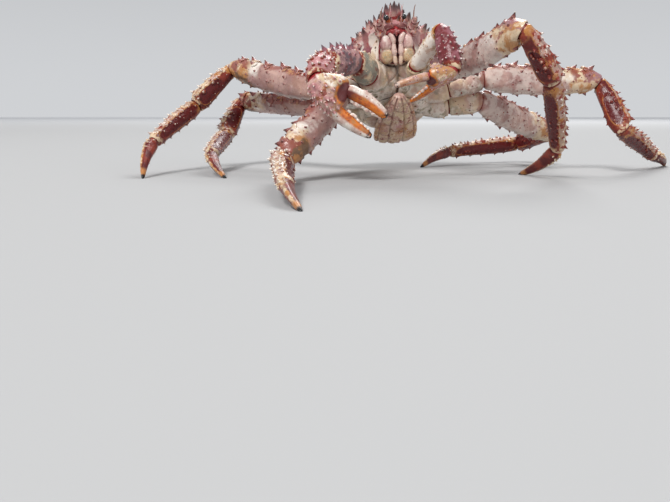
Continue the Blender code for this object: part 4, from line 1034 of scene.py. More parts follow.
def thorax_ring(v, count):
    """One section of the underbody, flat against the back shell, grooved along its sole."""
    top_half, sole_half, sole = smooth_read(THORAX, v)
    top = smooth_read(UNDERSIDE, v)[0] - THORAX_GAP / MM
    depth = top - sole
    bulge = 0.08 * depth
    profile = ((top_half * 0.5, top), (top_half, top), (top_half + 0.6 * bulge, top - 0.2 * depth),
               ((top_half + sole_half) / 2 + bulge, top - 0.65 * depth), (sole_half, sole + 0.04 * depth),
               (sole_half * 0.6, sole), (sole_half * 0.25, sole + 0.3))
    right = [(-u, w) for u, w in reversed(profile)]
    groove = [(0, sole + min(THORAX_GROOVE, depth / 4))]
    ring = smooth_loop(list(profile) + groove + right, count)
    return np.stack((ring[:, 0], np.full(count, float(v)), np.minimum(ring[:, 1], top)), -1)


# Seams of the underbody: joints of its sole plates, places ahead in mm.
SOLE_JOINTS = (-38, -14, 10, 34)
# The mouth field: half width at its top and bottom, and its lower edge, places in mm.
MOUTH_HALF = (13.0, 19.0)
MOUTH_END = 42.0


def mouth_field(local):
    """How surely each point of the underbody lies in the soft field behind the jaw feet."""
    u, v, w = (local[..., i] for i in range(3))
    slope = np.clip(2.5 - abs(v - w - MOUTH_PLANE) / 3.0, 0, 1)
    half = np.interp(v, (MOUTH_END, 70.0), MOUTH_HALF[::-1])
    across_it = np.clip((half - abs(u)) / 1.5, 0, 1)
    return slope * across_it * np.clip((v - MOUTH_END - abs(u) * 0.3) / 2.0, 0, 1)


COXA_SPINES = ((0, 0.55, 0.9, 2, 3, 1.8, 0.3), (180, 0.6, 0.9, 1, 2.5, 1.6, 0.2),
               (60, 0.6, 0.9, 1, 2.5, 1.5, 0.2))


def coxa_place(grid):
    """How far along a coxa its rings are, below 0, which tells it from the mouth field."""
    return -np.linspace(0, 1, len(grid))[:, None] * np.ones(grid.shape[:2])


def make_underbody(finish, coxae, rng):
    """The underbody with its sternal plates, its mouth frame, and the coxae that carry the limbs."""
    count = 240
    stations = np.linspace(-64, 72, 170)
    local = np.array([thorax_ring(v, count) for v in stations])
    grid = to_world(local)
    normals = grid_normals(grid)
    u, v, w = (local[..., i] for i in range(3))
    bend = 1.6 * grain(grid, 60, 2)
    seams = sum(np.exp(-((v - joint + abs(u) * 0.35 + bend) / 1.3) ** 2) for joint in SOLE_JOINTS) * 0.8
    seams = seams + np.exp(-((u + 0.5 * bend) / 2.0) ** 2) * np.clip((MOUTH_END + 2 - v) / 3, 0, 1)
    seams = seams + np.exp(-((v - MOUTH_END + 1 - abs(u) * 0.3 + 0.4 * bend) / 1.6) ** 2)
    below = np.clip(-(w + 18) / 8, 0, 1)
    mouth = mouth_field(local)
    seams = np.clip(seams, 0, 1) * below
    height = (0.3 * MM * grain(grid, 150, 3) - 1.4 * MM * seams) * below - 1.6 * MM * mouth
    height += 1.5 * MM * np.exp(-((abs(u) - 9) / 5) ** 2) * np.exp(-((v - 37) / 4.5) ** 2) * below
    grid = grid + normals * height[..., None]
    shape = Shape()
    shape.add_rings(grid, {"along": ((stations + 64) / 136)[:, None], "outer": -below, "tint": seams,
                           "stain": mouth})
    add_mouth_frame(shape)
    for tube in coxae:
        add_limb(shape, tube, COXA_SPINES, rng, (), 0.45, neck=((0.0, 0.8, 0),), warts=24, knobs=0.8,
                 stain=coxa_place)
    shape.make("shell_underbody", finish, ["underbody"])


def add_mouth_frame(shape):
    """The raised edges of the mouth field, the soft folds inside it and the plate above it."""
    for side in (1, -1):
        rows = []
        for v in (70, 64, 58, 52, 46, 41):
            sole_half, sole = smooth_read(THORAX, v)[1:]
            rows.append((side * (sole_half - 0.6 + (70 - v) * 0.03), v, sole + 0.8, 1.5 + (70 - v) * 0.035))
        add_strand(shape, rows, {"outer": -1.0}, rough=0.2, flat=0.8)
        inner = [(side * (u + 1.0), v, v - MOUTH_PLANE + 0.2, r) for u, v, r in
                 ((15.5, 68, 1.2), (17.8, 62, 1.5), (19.5, 55, 1.5), (19.0, 49, 1.2))]
        add_strand(shape, inner, {"stain": 0.8, "outer": -1.0}, rough=0.3)
        for k in range(4):
            v = 50 + k * 5.5
            fold = [(side * u, v + dv, v + dv - MOUTH_PLANE + 0.4, r) for u, dv, r in
                    ((0.8, 0.5, 0.7), (4.5, 0, 1.1), (9.0, 1.2, 0.8))]
            add_strand(shape, fold, {"stain": 1.0, "outer": -1.0}, rough=0.3)
    lip = [(u, 73.5 - abs(u) * 0.28, -9.5 - abs(u) * 0.1, r) for u, r in
           ((-14, 1.8), (-9, 3.0), (-3.5, 3.6), (0, 3.2), (3.5, 3.6), (9, 3.0), (14, 1.8))]
    add_strand(shape, lip, {"stain": 0.78, "outer": -1.0}, columns=20, rough=0.9)
    keel = [(0, 74, -5, 2.2), (0, 75.2, -8, 2.4), (0, 74.4, -12, 1.8), (0, 71.5, -14.5, 1.0)]
    add_strand(shape, keel, {"stain": 0.5, "outer": -1.0}, rough=0.3)


# Seams of the tail's plates: places ahead of the middle ones, step to the side ones, length of
# the small plates at its margin, in mm; then the edges of the middle and the side plates across.
TAIL_JOINTS = (-52, -34, -17, 0)
TAIL_STEP = 8
TAIL_MARGIN = 8.5
TAIL_MIDDLE = 0.34
TAIL_SIDE = 0.82


def plate_height(u, v, half):
    """How near a point of the tail is to a seam, from 0 to 1, and how its plate swells, in mm."""
    bent = v - abs(u) * 0.25 + 0.8 * np.sin(u * 0.45 + v * 0.1)
    share = abs(u) / half
    middle = np.min([abs(bent - joint) for joint in TAIL_JOINTS], axis=0)
    beside = np.min([abs(bent - joint - TAIL_STEP) for joint in TAIL_JOINTS], axis=0)
    small = abs((v / TAIL_MARGIN) % 1 - 0.5) * TAIL_MARGIN
    near = np.where(share < TAIL_MIDDLE, middle, np.where(share < TAIL_SIDE, beside, small))
    column = np.minimum(abs(share - TAIL_MIDDLE), abs(share - TAIL_SIDE)) * half
    seam = np.maximum(np.exp(-(near / 0.9) ** 2), 0.9 * np.exp(-(column / 0.9) ** 2))
    return seam, 1.6 * np.sqrt(np.clip(near / 9, 0, 1)) * np.clip(column / 3, 0, 1)


def make_abdomen(finish, rng):
    """The folded tail: middle, side and margin plates parted by seams, with warts."""
    count = 220
    angles = np.arange(count) * math.tau / count
    stations = np.linspace(-70, 20, 190)
    rings = []
    seams = []
    for v in stations:
        level, half, thick = smooth_read(ABDOMEN, v)
        rise = np.sin(angles)
        u = half * np.cos(angles)
        seam, swell = plate_height(u, np.full(count, v), half)
        low = np.clip(-rise * 4, 0, 1)
        notch = 1 - 0.025 * seam * (abs(np.cos(angles)) > 0.9)
        w = level + thick * rise - (swell + PLATE_RISE * (1 - seam)) * low * np.minimum(1, -rise + 0.3)
        rings.append(np.stack((u * notch, np.full(count, v), w), -1))
        seams.append(seam * low)
    grid = to_world(np.array(rings))
    normals = grid_normals(grid)
    thorns = []
    for _ in range(380):
        i = rng.randrange(6, 184)
        j = rng.randrange(count // 2 + 5, count - 5)
        if seams[i][j] < 0.3:
            size = rng.uniform(0.5, 1.0) * (1.5 if abs(math.cos(angles[j])) < TAIL_MIDDLE else 1.0)
            thorns.append((grid[i, j], normals[i, j], AHEAD * 0.2, size * 0.9 * MM, size * 0.9 * MM))
    height = mounds(grid, thorns, 0.45, 1.5) + 0.35 * MM * grain(grid, 200, 3)
    grid = grid + normals * height[..., None]
    shape = Shape()
    shape.add_rings(grid, {"outer": -np.sin(angles)[None], "along": ((stations + 70) / 90)[:, None],
                           "tint": np.array(seams)})
    add_thorns(shape, thorns, {"outer": 1.0}, sides=7)
    shape.make("shell_abdomen", finish, ["abdomen"])


# The head.

def head_tube(line, side, sizes, outer=(0, 0, 1), bow=0.0):
    """A tube of the head on the given side, with its line in mm along the body's axes."""
    start, end = (to_world((p[0] * side, *p[1:])) for p in line)
    way = unit(end - start)
    return Tube(start, end, way, way, np.asarray(outer, float) @ AXES, sizes, bow * MM)


def add_plain(shape, tube, spacing, masks, rough=0.0, reshape=None, band=None):
    """Adds a tube with round ends, and a change of its points if given."""
    rings = max(8, int(tube.length / spacing))
    round_end = ((0.0, 0.35), (0.006, 0.6), (0.018, 0.82), (0.035, 0.94), (0.06, 1.0))
    places = ([t for t, _ in round_end] + list(np.linspace(0.08, 0.92, rings))
              + [1 - t for t, _ in reversed(round_end)])
    shares = [s for _, s in round_end] + [1.0] * rings + [s for _, s in reversed(round_end)]
    columns = max(12, int(math.tau * tube.bend / spacing))
    angles = np.arange(columns) * math.tau / columns
    grid = tube.grid(places, shares, angles)
    if rough:
        grid = grid + grid_normals(grid) * (rough * MM * grain(grid, 400, 2))[..., None]
    if reshape is not None:
        grid = reshape(grid)
    if band is not None:
        masks = {**masks, "skin": band(np.array(places))[:, None]}
    shape.add_rings(grid, {"along": np.array(places)[:, None], "outer": np.cos(angles)[None],
                           "side": np.sin(angles)[None], **masks})


def press_back(grid):
    """Presses a jaw foot's back against the slope of the mouth field, a gap away from it."""
    local = to_body(grid)
    short = np.maximum(0.0, (MOUTH_PLANE + GAP / MM * math.sqrt(2) - (local[..., 1] - local[..., 2])) / 2)
    local[..., 1] += short
    local[..., 2] -= short
    return to_world(local)


# The cornea: its rings, its middle beyond the stalk's end and its radius, in mm, and its first angle.
CORNEA_RINGS = 12
CORNEA_AHEAD = 1.6
CORNEA_RADIUS = 3.3
CORNEA_START = -0.9


def make_eye(word, side, finish):
    """A short stalk that ends in a round cornea."""
    stalk = head_tube(EYE_STALK, side, EYE_SIZES)
    stalk.start_normal = AHEAD
    shape = Shape()
    angles = np.arange(40) * math.tau / 40
    stalk_places = np.linspace(0, 0.9, 14)
    rings = list(stalk.grid(stalk_places, 1 + 0.05 * np.sin(stalk_places * 20), angles))
    skin = [0.0] * len(rings)
    centre = stalk.point(1, 0, 0) + stalk.along * (CORNEA_AHEAD * MM)
    radius = CORNEA_RADIUS * MM
    up, beside = stalk.section(1)[2:4]
    for k in range(CORNEA_RINGS):
        turn = CORNEA_START + (math.pi / 2 - CORNEA_START) * k / (CORNEA_RINGS - 0.6)
        rings.append(centre + stalk.along * (radius * math.sin(turn))
                     + (np.outer(np.cos(angles), up) + np.outer(np.sin(angles), beside))
                     * (radius * math.cos(turn)))
        skin.append(1.0)
    shape.add_rings(np.array(rings), {"skin": np.array(skin)[:, None]})
    shape.make(f"shell_eye_{word}", finish, [f"eye_{word}"])


# A long feeler's base joints, its scale thorns, and the short inner feeler, in mm on the left.
FEELER_JOINTS = ((15.5, 68, -8, 3.4), (16.8, 72, -8.2, 4.6), (18.4, 76, -8.6, 4.3), (19.0, 78.2, -8.8, 3.2),
                 (19.5, 80.5, -9.0, 3.6), (20.2, 84.5, -9.4, 3.2), (20.5, 86.0, -9.5, 2.1),
                 (20.8, 89.5, -9.8, 2.3), (20.9, 91, -10, 1.3))
FEELER_THORNS = (((18.5, 73, -6.5), (21.5, 86, -3.5), 2.8), ((20.5, 74, -9), (27, 84, -8), 2.6),
                 ((15.5, 73, -6.0), (15.0, 85, -2.5), 2.3), ((18, 78, -7.5), (18.5, 88, -4.5), 1.7),
                 ((20, 72, -11), (25, 80, -12.5), 2.2), ((13.5, 71, -9.5), (11.5, 79, -9.5), 2.0))
INNER_FEELER = ((4.2, 74.5, -5, 1.7), (4.8, 79, -6.5, 1.5), (5.2, 82, -7.2, 0.8), (5.6, 86.5, -6.6, 1.0),
                (5.9, 88.5, -5.6, 0.6), (6.3, 92.5, -2.5, 0.75), (6.6, 95.5, 0.5, 0.55), (6.4, 97, 3.0, 0.35),
                (6.0, 97.5, 6.0, 0.2))
INNER_BRANCH = ((6.5, 95, 0.2, 0.4), (7.4, 98, 1.8, 0.28), (8.2, 100, 4.0, 0.2))


def make_antenna(word, side, finish):
    """A long feeler with stout thorny base joints and a ringed lash, and the inner feeler."""
    shape = Shape()
    add_strand(shape, mirrored(FEELER_JOINTS, side), {"tint": 0.2}, 0.4, 20, rough=0.25,
               band=lambda t: np.exp(-((t - 0.36) / 0.03) ** 2) + np.exp(-((t - 0.70) / 0.03) ** 2))
    thorns = [face_thorn(root, tip, radius, side, 0.1) for root, tip, radius in FEELER_THORNS]
    add_thorns(shape, thorns, {"tint": 0.2})
    lash = head_tube(FEELER_LASH, side, FEELER_LASH_SIZES, bow=FEELER_BOW)
    add_plain(shape, lash, 0.7 * MM, {"tint": 0.8})
    add_strand(shape, mirrored(INNER_FEELER, side), {"tint": 0.2, "stain": 1.0}, 0.4, 12, rough=0.1,
               band=lambda t: np.exp(-((t - 0.3) / 0.02) ** 2) + np.exp(-((t - 0.52) / 0.02) ** 2))
    add_strand(shape, mirrored(INNER_BRANCH, side), {"tint": 0.8, "stain": 1.0}, 0.4, 8)
    shape.make(f"shell_antenna_{word}", finish, [f"antenna_{word}"])


# A jaw foot's palp: three beads that hang beside it, nearer to the middle.
PALP_BEADS = (
    ((8.4, 73.5, -14.5, 2.2), (5.6, 71.2, -17.2, 3.2), (4.5, 68.6, -20.0, 3.1), (4.1, 66.5, -22.3, 2.3)),
    ((4.1, 66.2, -22.3, 2.3), (4.2, 63.0, -25.6, 3.0), (3.9, 59.5, -29.2, 3.4), (3.6, 57.2, -31.8, 2.2)),
    ((3.6, 57.0, -31.9, 2.1), (3.4, 54.5, -34.6, 2.6), (3.0, 51.5, -37.8, 2.3), (2.8, 49.8, -39.8, 0.9)),
)


def make_jaw_foot(word, side, finish):
    """One of the third jaw feet that close the mouth, with its folded palp of three beads."""
    shape = Shape()
    jaw = head_tube(JAW, side, JAW_SIZES, (0, 1, -1))
    add_plain(shape, jaw, 0.5 * MM, {"tint": 0.0}, 0.2, press_back,
              lambda t: 0.5 * np.exp(-((t - 0.5) / 0.02) ** 2))
    for k, bead in enumerate(PALP_BEADS):
        add_strand(shape, mirrored(bead, side), {"tint": 1.0, "stain": k / 2}, 0.4, 16, outer=(0, 1, -1),
                   rough=0.15, band=lambda t: np.exp(-(t / 0.07) ** 2) + np.exp(-((1 - t) / 0.07) ** 2))
    shape.make(f"shell_jaw_foot_{word}", finish, [f"jaw_foot_{word}"])


# Materials.

class Graph:
    """A material's nodes, made with few words."""

    def __init__(self, name):
        """Starts a material with its shader and the place of each point."""
        self.finish = bpy.data.materials.new(name)
        self.finish.use_nodes = True
        self.tree = self.finish.node_tree
        self.shader = self.tree.nodes["Principled BSDF"]
        self.place = self.node("ShaderNodeTexCoord").outputs["Object"]

    def node(self, kind, **settings):
        """A new node with its settings."""
        made = self.tree.nodes.new(kind)
        for key, value in settings.items():
            setattr(made, key, value)
        return made

    def feed(self, socket, value):
        """Links a socket's value, or sets it where it is a number or a colour."""
        if isinstance(value, bpy.types.NodeSocket):
            self.tree.links.new(value, socket)
        else:
            socket.default_value = value

    def mask(self, name):
        """One of the shape's masks."""
        return self.node("ShaderNodeAttribute", attribute_name=name).outputs["Fac"]

    def noise(self, scale, detail=3.0, roughness=0.55):
        """Smooth noise from 0 to 1, with features about 1/scale metres across."""
        made = self.node("ShaderNodeTexNoise")
        self.feed(made.inputs["Vector"], self.place)
        made.inputs["Scale"].default_value = scale
        made.inputs["Detail"].default_value = detail
        made.inputs["Roughness"].default_value = roughness
        return made.outputs["Fac"]

    def part_of(self, axis):
        """One coordinate of the place."""
        made = self.node("ShaderNodeSeparateXYZ")
        self.feed(made.inputs["Vector"], self.place)
        return made.outputs[axis]

    def cells(self, scale):
        """The distance to the nearest of scattered points."""
        made = self.node("ShaderNodeTexVoronoi")
        self.feed(made.inputs["Vector"], self.place)
        made.inputs["Scale"].default_value = scale
        return made.outputs["Distance"]

    def span(self, value, low, high, start=0.0, end=1.0):
        """Maps a value between two limits to another range, smoothly and clamped."""
        made = self.node("ShaderNodeMapRange", interpolation_type="SMOOTHSTEP")
        self.feed(made.inputs["Value"], value)
        for key, number in (("From Min", low), ("From Max", high), ("To Min", start), ("To Max", end)):
            made.inputs[key].default_value = number
        return made.outputs["Result"]

    def math(self, operation, a, b=0.0):
        """A sum, product or other simple operation."""
        made = self.node("ShaderNodeMath", operation=operation)
        self.feed(made.inputs[0], a)
        self.feed(made.inputs[1], b)
        return made.outputs[0]

    def ragged(self, name, scale, amount, detail=3.0):
        """A mask roughened with noise, so that its edges wander."""
        return self.math("ADD", self.mask(name), self.math("MULTIPLY", self.noise(scale, detail), amount))

    def gloss(self, low, high):
        """Roughness that wanders between two values."""
        return self.span(self.noise(80), 0.3, 0.7, low, high)

    def mix(self, factor, a, b, strength=1.0):
        """Colour a where the factor is 0, and b where it is 1, or as much of b as the strength says."""
        if strength != 1.0:
            factor = self.math("MULTIPLY", factor, strength)
        made = self.node("ShaderNodeMix", data_type="RGBA")
        self.feed(made.inputs[0], factor)
        self.feed(made.inputs[6], a)
        self.feed(made.inputs[7], b)
        return made.outputs[2]

    def done(self, colour, roughness=0.3, bumps=(), coat=0.12, subsurface=0.0):
        """Sets the shader: colour, roughness and fine bumps as (height, distance in mm) rows."""
        self.feed(self.shader.inputs["Base Color"], colour)
        self.feed(self.shader.inputs["Roughness"], roughness)
        self.shader.inputs["Specular IOR Level"].default_value = 0.3
        self.shader.inputs["Coat Weight"].default_value = coat
        self.shader.inputs["Coat Roughness"].default_value = 0.15
        self.shader.inputs["Subsurface Weight"].default_value = subsurface
        self.shader.inputs["Subsurface Radius"].default_value = (0.004, 0.002, 0.0015)
        normal = None
        for height, distance in bumps:
            made = self.node("ShaderNodeBump")
            made.inputs["Distance"].default_value = distance * MM
            made.inputs["Strength"].default_value = 0.8
            self.feed(made.inputs["Height"], height)
            if normal is not None:
                self.feed(made.inputs["Normal"], normal)
            normal = made.outputs["Normal"]
        if normal is not None:
            self.feed(self.shader.inputs["Normal"], normal)
        return self.finish


# Colours, as linear red, green, blue and opacity.
LILAC = (0.45, 0.25, 0.24, 1)
ROSE = (0.48, 0.22, 0.22, 1)
PALE_PINK = (0.57, 0.37, 0.31, 1)
GREY_PINK = (0.31, 0.175, 0.155, 1)
CREAM = (0.66, 0.50, 0.33, 1)
WHITE = (0.84, 0.77, 0.69, 1)
OCHRE = (0.46, 0.20, 0.055, 1)
AMBER = (0.43, 0.175, 0.052, 1)
ORANGE = (0.68, 0.19, 0.025, 1)
RED_BROWN = (0.235, 0.034, 0.018, 1)
MAROON = (0.105, 0.010, 0.010, 1)
CRIMSON = (0.30, 0.018, 0.02, 1)
BLOOD = (0.09, 0.006, 0.008, 1)
BURGUNDY = (0.165, 0.026, 0.030, 1)
MAUVE = (0.29, 0.105, 0.125, 1)
GREY_PURPLE = (0.15, 0.10, 0.115, 1)
GREY_GREEN = (0.27, 0.26, 0.21, 1)
DARK = (0.028, 0.012, 0.010, 1)
OLIVE = (0.20, 0.16, 0.07, 1)
BARK = (0.13, 0.065, 0.025, 1)
DUSK = (0.10, 0.055, 0.055, 1)
TAN = (0.44, 0.29, 0.21, 1)
SPINE_ROOT = (0.24, 0.075, 0.065, 1)
SPINE_TIP = (0.08, 0.028, 0.026, 1)
JAW_PINK = (0.68, 0.50, 0.44, 1)
LEG_SKIN = (0.19, 0.028, 0.018, 1)
BLACK = (0.006, 0.005, 0.006, 1)
SPOT_BROWN = (0.13, 0.075, 0.03, 1)
SEAM_BROWN = (0.11, 0.065, 0.05, 1)
TAIL_BROWN = (0.19, 0.09, 0.06, 1)
BURNT_ORANGE = (0.42, 0.085, 0.02, 1)
SAND = (0.50, 0.36, 0.20, 1)


def spots(g, scale, size):
    """A mask of sparse round spots with ragged edges."""
    ragged = g.math("ADD", g.cells(scale), g.math("MULTIPLY", g.noise(scale * 4), 0.12))
    return g.span(ragged, size, size + 0.05, 1.0, 0.0)


def joint_skin(g, colour, tint=CRIMSON):
    """Lays the soft skin of a joint over a shell's colour."""
    return g.mix(g.span(g.mask("skin"), 0.3, 0.7), colour, tint)


def tipped(g, colour, base, tip, start=0.35):
    """Colours spines: a base tone at the root and another at the point."""
    height = g.mask("spine")
    rooted = g.mix(g.span(height, 0.02, 0.3), colour, base)
    return g.mix(g.span(height, start, start + 0.35), rooted, tip)


def blotch(g, scale, share, soft=0.06):
    """A mask of ragged patches that cover about the given share of a surface."""
    level = 0.5 + (0.5 - share) * 0.36
    return g.span(g.noise(scale, 5, 0.62), level - soft / 2, level + soft / 2)


def patched(g, colour, *rows):
    """Lays ragged patches over a colour, from rows of (scale, share, softness, strength, tone)."""
    for scale, share, soft, strength, tone in rows:
        colour = g.mix(blotch(g, scale, share, soft), colour, tone, strength)
    return colour


def fine_bumps(g):
    """The grain and pits of every shell, as rows of (height, distance in mm)."""
    return (g.noise(260), 0.5), (g.noise(900, 4), 0.2), (g.cells(1500), 0.1)


def hip_finish(name):
    """Ischium: the underside's cream, mottled with olive, grey and pink."""
    g = Graph(name)
    colour = g.mix(blotch(g, 40, 0.5, 0.2), PALE_PINK, CREAM)
    colour = patched(g, colour, (34, 0.4, 0.15, 0.65, GREY_PINK),
                     (46, 0.4, 0.15, 0.6, GREY_GREEN),
                     (62, 0.25, 0.06, 0.5, OLIVE),
                     (90, 0.3, 0.15, 0.5, WHITE))
    end = g.span(g.ragged("along", 60, 0.2), 0.95, 1.05)
    colour = g.mix(end, colour, RED_BROWN, 0.6)
    colour = g.mix(spots(g, 105, 0.15), colour, RED_BROWN)
    colour = tipped(g, colour, SPINE_ROOT, SPINE_TIP, 0.5)
    colour = joint_skin(g, colour, LEG_SKIN)
    return g.done(colour, g.gloss(0.24, 0.4), fine_bumps(g), coat=0.2, subsurface=0.05)


def thigh_finish(name, pale_share, under, patch):
    """Merus: mottled grey pink, browner along the spined edge, patched at the knee."""
    g = Graph(name)
    colour = g.mix(g.span(g.noise(26, 4), 0.38, 0.66), GREY_PINK, PALE_PINK)
    colour = patched(g, colour, (150, 0.35, 0.2, 0.5, LILAC),
                     (260, 0.4, 0.15, 0.35, GREY_PINK),
                     (60, pale_share, 0.15, 0.4, WHITE),
                     (34, 0.25, 0.2, 0.2 - 0.2 * pale_share, AMBER))
    edge = g.span(g.ragged("outer", 90, 0.7, 4), 0.98, 1.26)
    colour = g.mix(edge, colour, g.mix(blotch(g, 70, 0.3), RED_BROWN, OCHRE), 0.7)
    keel = g.span(g.ragged("outer", 90, 0.5), -0.5, -0.75)
    colour = g.mix(keel, colour, WHITE, 0.35)
    place = g.ragged("along", 40, 0.3)
    upper = g.span(g.ragged("outer", 70, 1.2), 0.3, 0.9)
    pale = g.math("MULTIPLY", g.span(place, 0.74, 0.83), upper)
    colour = g.mix(pale, colour, g.mix(blotch(g, 60, 0.5, 0.2), CREAM, WHITE), 0.85)
    low = g.mix(blotch(g, 48, 0.5, 0.1), OCHRE, under)
    knee = g.mix(blotch(g, 55, 0.5), OCHRE, AMBER)
    knee = g.mix(g.math("MULTIPLY", upper, blotch(g, 70, 0.45)), knee, CREAM)
    knee = g.mix(blotch(g, 68, 0.36), knee, RED_BROWN)
    knee = g.mix(g.math("MULTIPLY", g.span(place, 1.0, 1.07), blotch(g, 40, 0.5)), knee, patch)
    knee = g.mix(g.span(upper, 0.5, 0.1), knee, low)
    colour = g.mix(g.span(place, 0.86, 0.94), colour, knee, 0.9)
    near = g.span(g.ragged("along", 60, 0.1), 0.1, 0.04)
    colour = g.mix(near, colour, RED_BROWN, 0.6)
    colour = g.mix(spots(g, 105, 0.14), colour, RED_BROWN)
    colour = tipped(g, colour, SPINE_ROOT, SPINE_TIP, 0.5)
    colour = g.mix(g.span(g.mask("spine"), 0.88, 0.99), colour, CREAM)
    colour = joint_skin(g, colour, LEG_SKIN)
    return g.done(colour, g.gloss(0.24, 0.4), fine_bumps(g), coat=0.3, subsurface=0.05)


def shin_finish(name, crest_share, pale_share):
    """Carpus and propodus: dark red, with a tan crest edged in gold and smooth darker sides."""
    g = Graph(name)
    colour = g.mix(g.span(g.noise(70, 4), 0.4, 0.62), MAROON, RED_BROWN)
    ragged = g.ragged("outer", 100, 0.7, 4)
    gold = g.span(ragged, 1.3 - crest_share, 1.42 - crest_share)
    colour = g.mix(gold, colour, g.mix(blotch(g, 90, 0.5), OCHRE, AMBER))
    crest = g.mix(blotch(g, 110, 0.3 + 0.3 * pale_share), TAN, CREAM)
    crest = g.mix(blotch(g, 60, 0.6 - 0.4 * pale_share, 0.15), crest, LILAC, 0.7)
    crest = g.mix(blotch(g, 95, 0.4 * pale_share), crest, WHITE)
    crest = g.mix(blotch(g, 80, 0.4 - 0.2 * pale_share), crest, RED_BROWN)
    crest = g.mix(blotch(g, 130, 0.2), crest, AMBER)
    colour = g.mix(g.span(ragged, 1.36 - crest_share, 1.5 - crest_share), colour, crest)
    dark = g.mix(blotch(g, 60, 0.25), MAROON, BLOOD)
    colour = g.mix(g.span(g.mask("stain"), 0.35, 0.8), colour, dark)
    rim = g.math("MULTIPLY", g.span(g.mask("stain"), 0.02, 0.3), g.span(g.mask("stain"), 0.6, 0.3))
    colour = g.mix(g.math("MULTIPLY", rim, g.math("MULTIPLY", blotch(g, 60, 0.5, 0.15), 0.8)), colour, AMBER)
    end = g.math("MULTIPLY", g.span(g.mask("along"), 0.9, 0.96), blotch(g, 120, 0.5))
    colour = g.mix(end, colour, CREAM, 0.8)
    start = g.math("MULTIPLY", g.span(g.mask("along"), 0.16, 0.03), blotch(g, 90, 0.5))
    colour = g.mix(start, colour, OCHRE)
    root = g.mix(blotch(g, 90, 0.8 - 0.6 * pale_share), TAN, RED_BROWN)
    tip = g.mix(blotch(g, 50, 0.2 + 0.8 * pale_share), SPINE_ROOT, WHITE)
    colour = tipped(g, colour, root, tip, 0.35)
    colour = joint_skin(g, colour, LEG_SKIN)
    return g.done(colour, g.gloss(0.2, 0.36), fine_bumps(g))


def toe_finish(name):
    """Dactylus: dark red horn with a golden edge, an amber band and a black point."""
    g = Graph(name)
    colour = g.mix(blotch(g, 90, 0.5, 0.15), MAROON, RED_BROWN)
    colour = patched(g, colour, (60, 0.35, 0.1, 0.6, BLOOD))
    colour = g.mix(g.span(g.ragged("along", 60, 0.4), 0.75, 1.05), colour, BLOOD)
    edge = g.span(g.ragged("outer", 130, 0.5), 1.1, 1.24)
    colour = g.mix(edge, colour, g.mix(blotch(g, 160, 0.5), OCHRE, CREAM))
    keel = g.span(g.mask("outer"), -0.9, -0.98)
    colour = g.mix(keel, colour, OCHRE, 0.7)
    amber = g.math("MULTIPLY", g.span(g.mask("along"), 0.76, 0.86), g.span(g.mask("along"), 0.96, 0.9))
    colour = g.mix(amber, colour, AMBER)
    colour = g.mix(g.span(g.mask("along"), 0.91, 0.96), colour, BLACK)
    colour = tipped(g, colour, CREAM, WHITE, 0.5)
    colour = joint_skin(g, colour)
    return g.done(colour, 0.3, fine_bumps(g), coat=0.15)


def arm_finish(name, body, patch, joint, spine_base, spine_tip, share=0.4, wart=RED_BROWN):
    """A claw arm's shell: a body tone with patches, joint ends and spines in their own tones."""
    g = Graph(name)
    colour = g.mix(blotch(g, 55, share, 0.12), body, patch)
    colour = patched(g, colour, (120, 0.25, 0.1, 0.5, wart))
    end = g.span(g.ragged("along", 70, 0.3), 0.98, 1.08)
    colour = g.mix(end, colour, g.mix(blotch(g, 110, 0.5), joint, CREAM))
    begin = g.span(g.ragged("along", 70, 0.2), 0.2, 0.12)
    colour = g.mix(begin, colour, joint, 0.7)
    colour = tipped(g, colour, spine_base, spine_tip, 0.45)
    colour = joint_skin(g, colour)
    return g.done(colour, g.gloss(0.22, 0.38), fine_bumps(g))


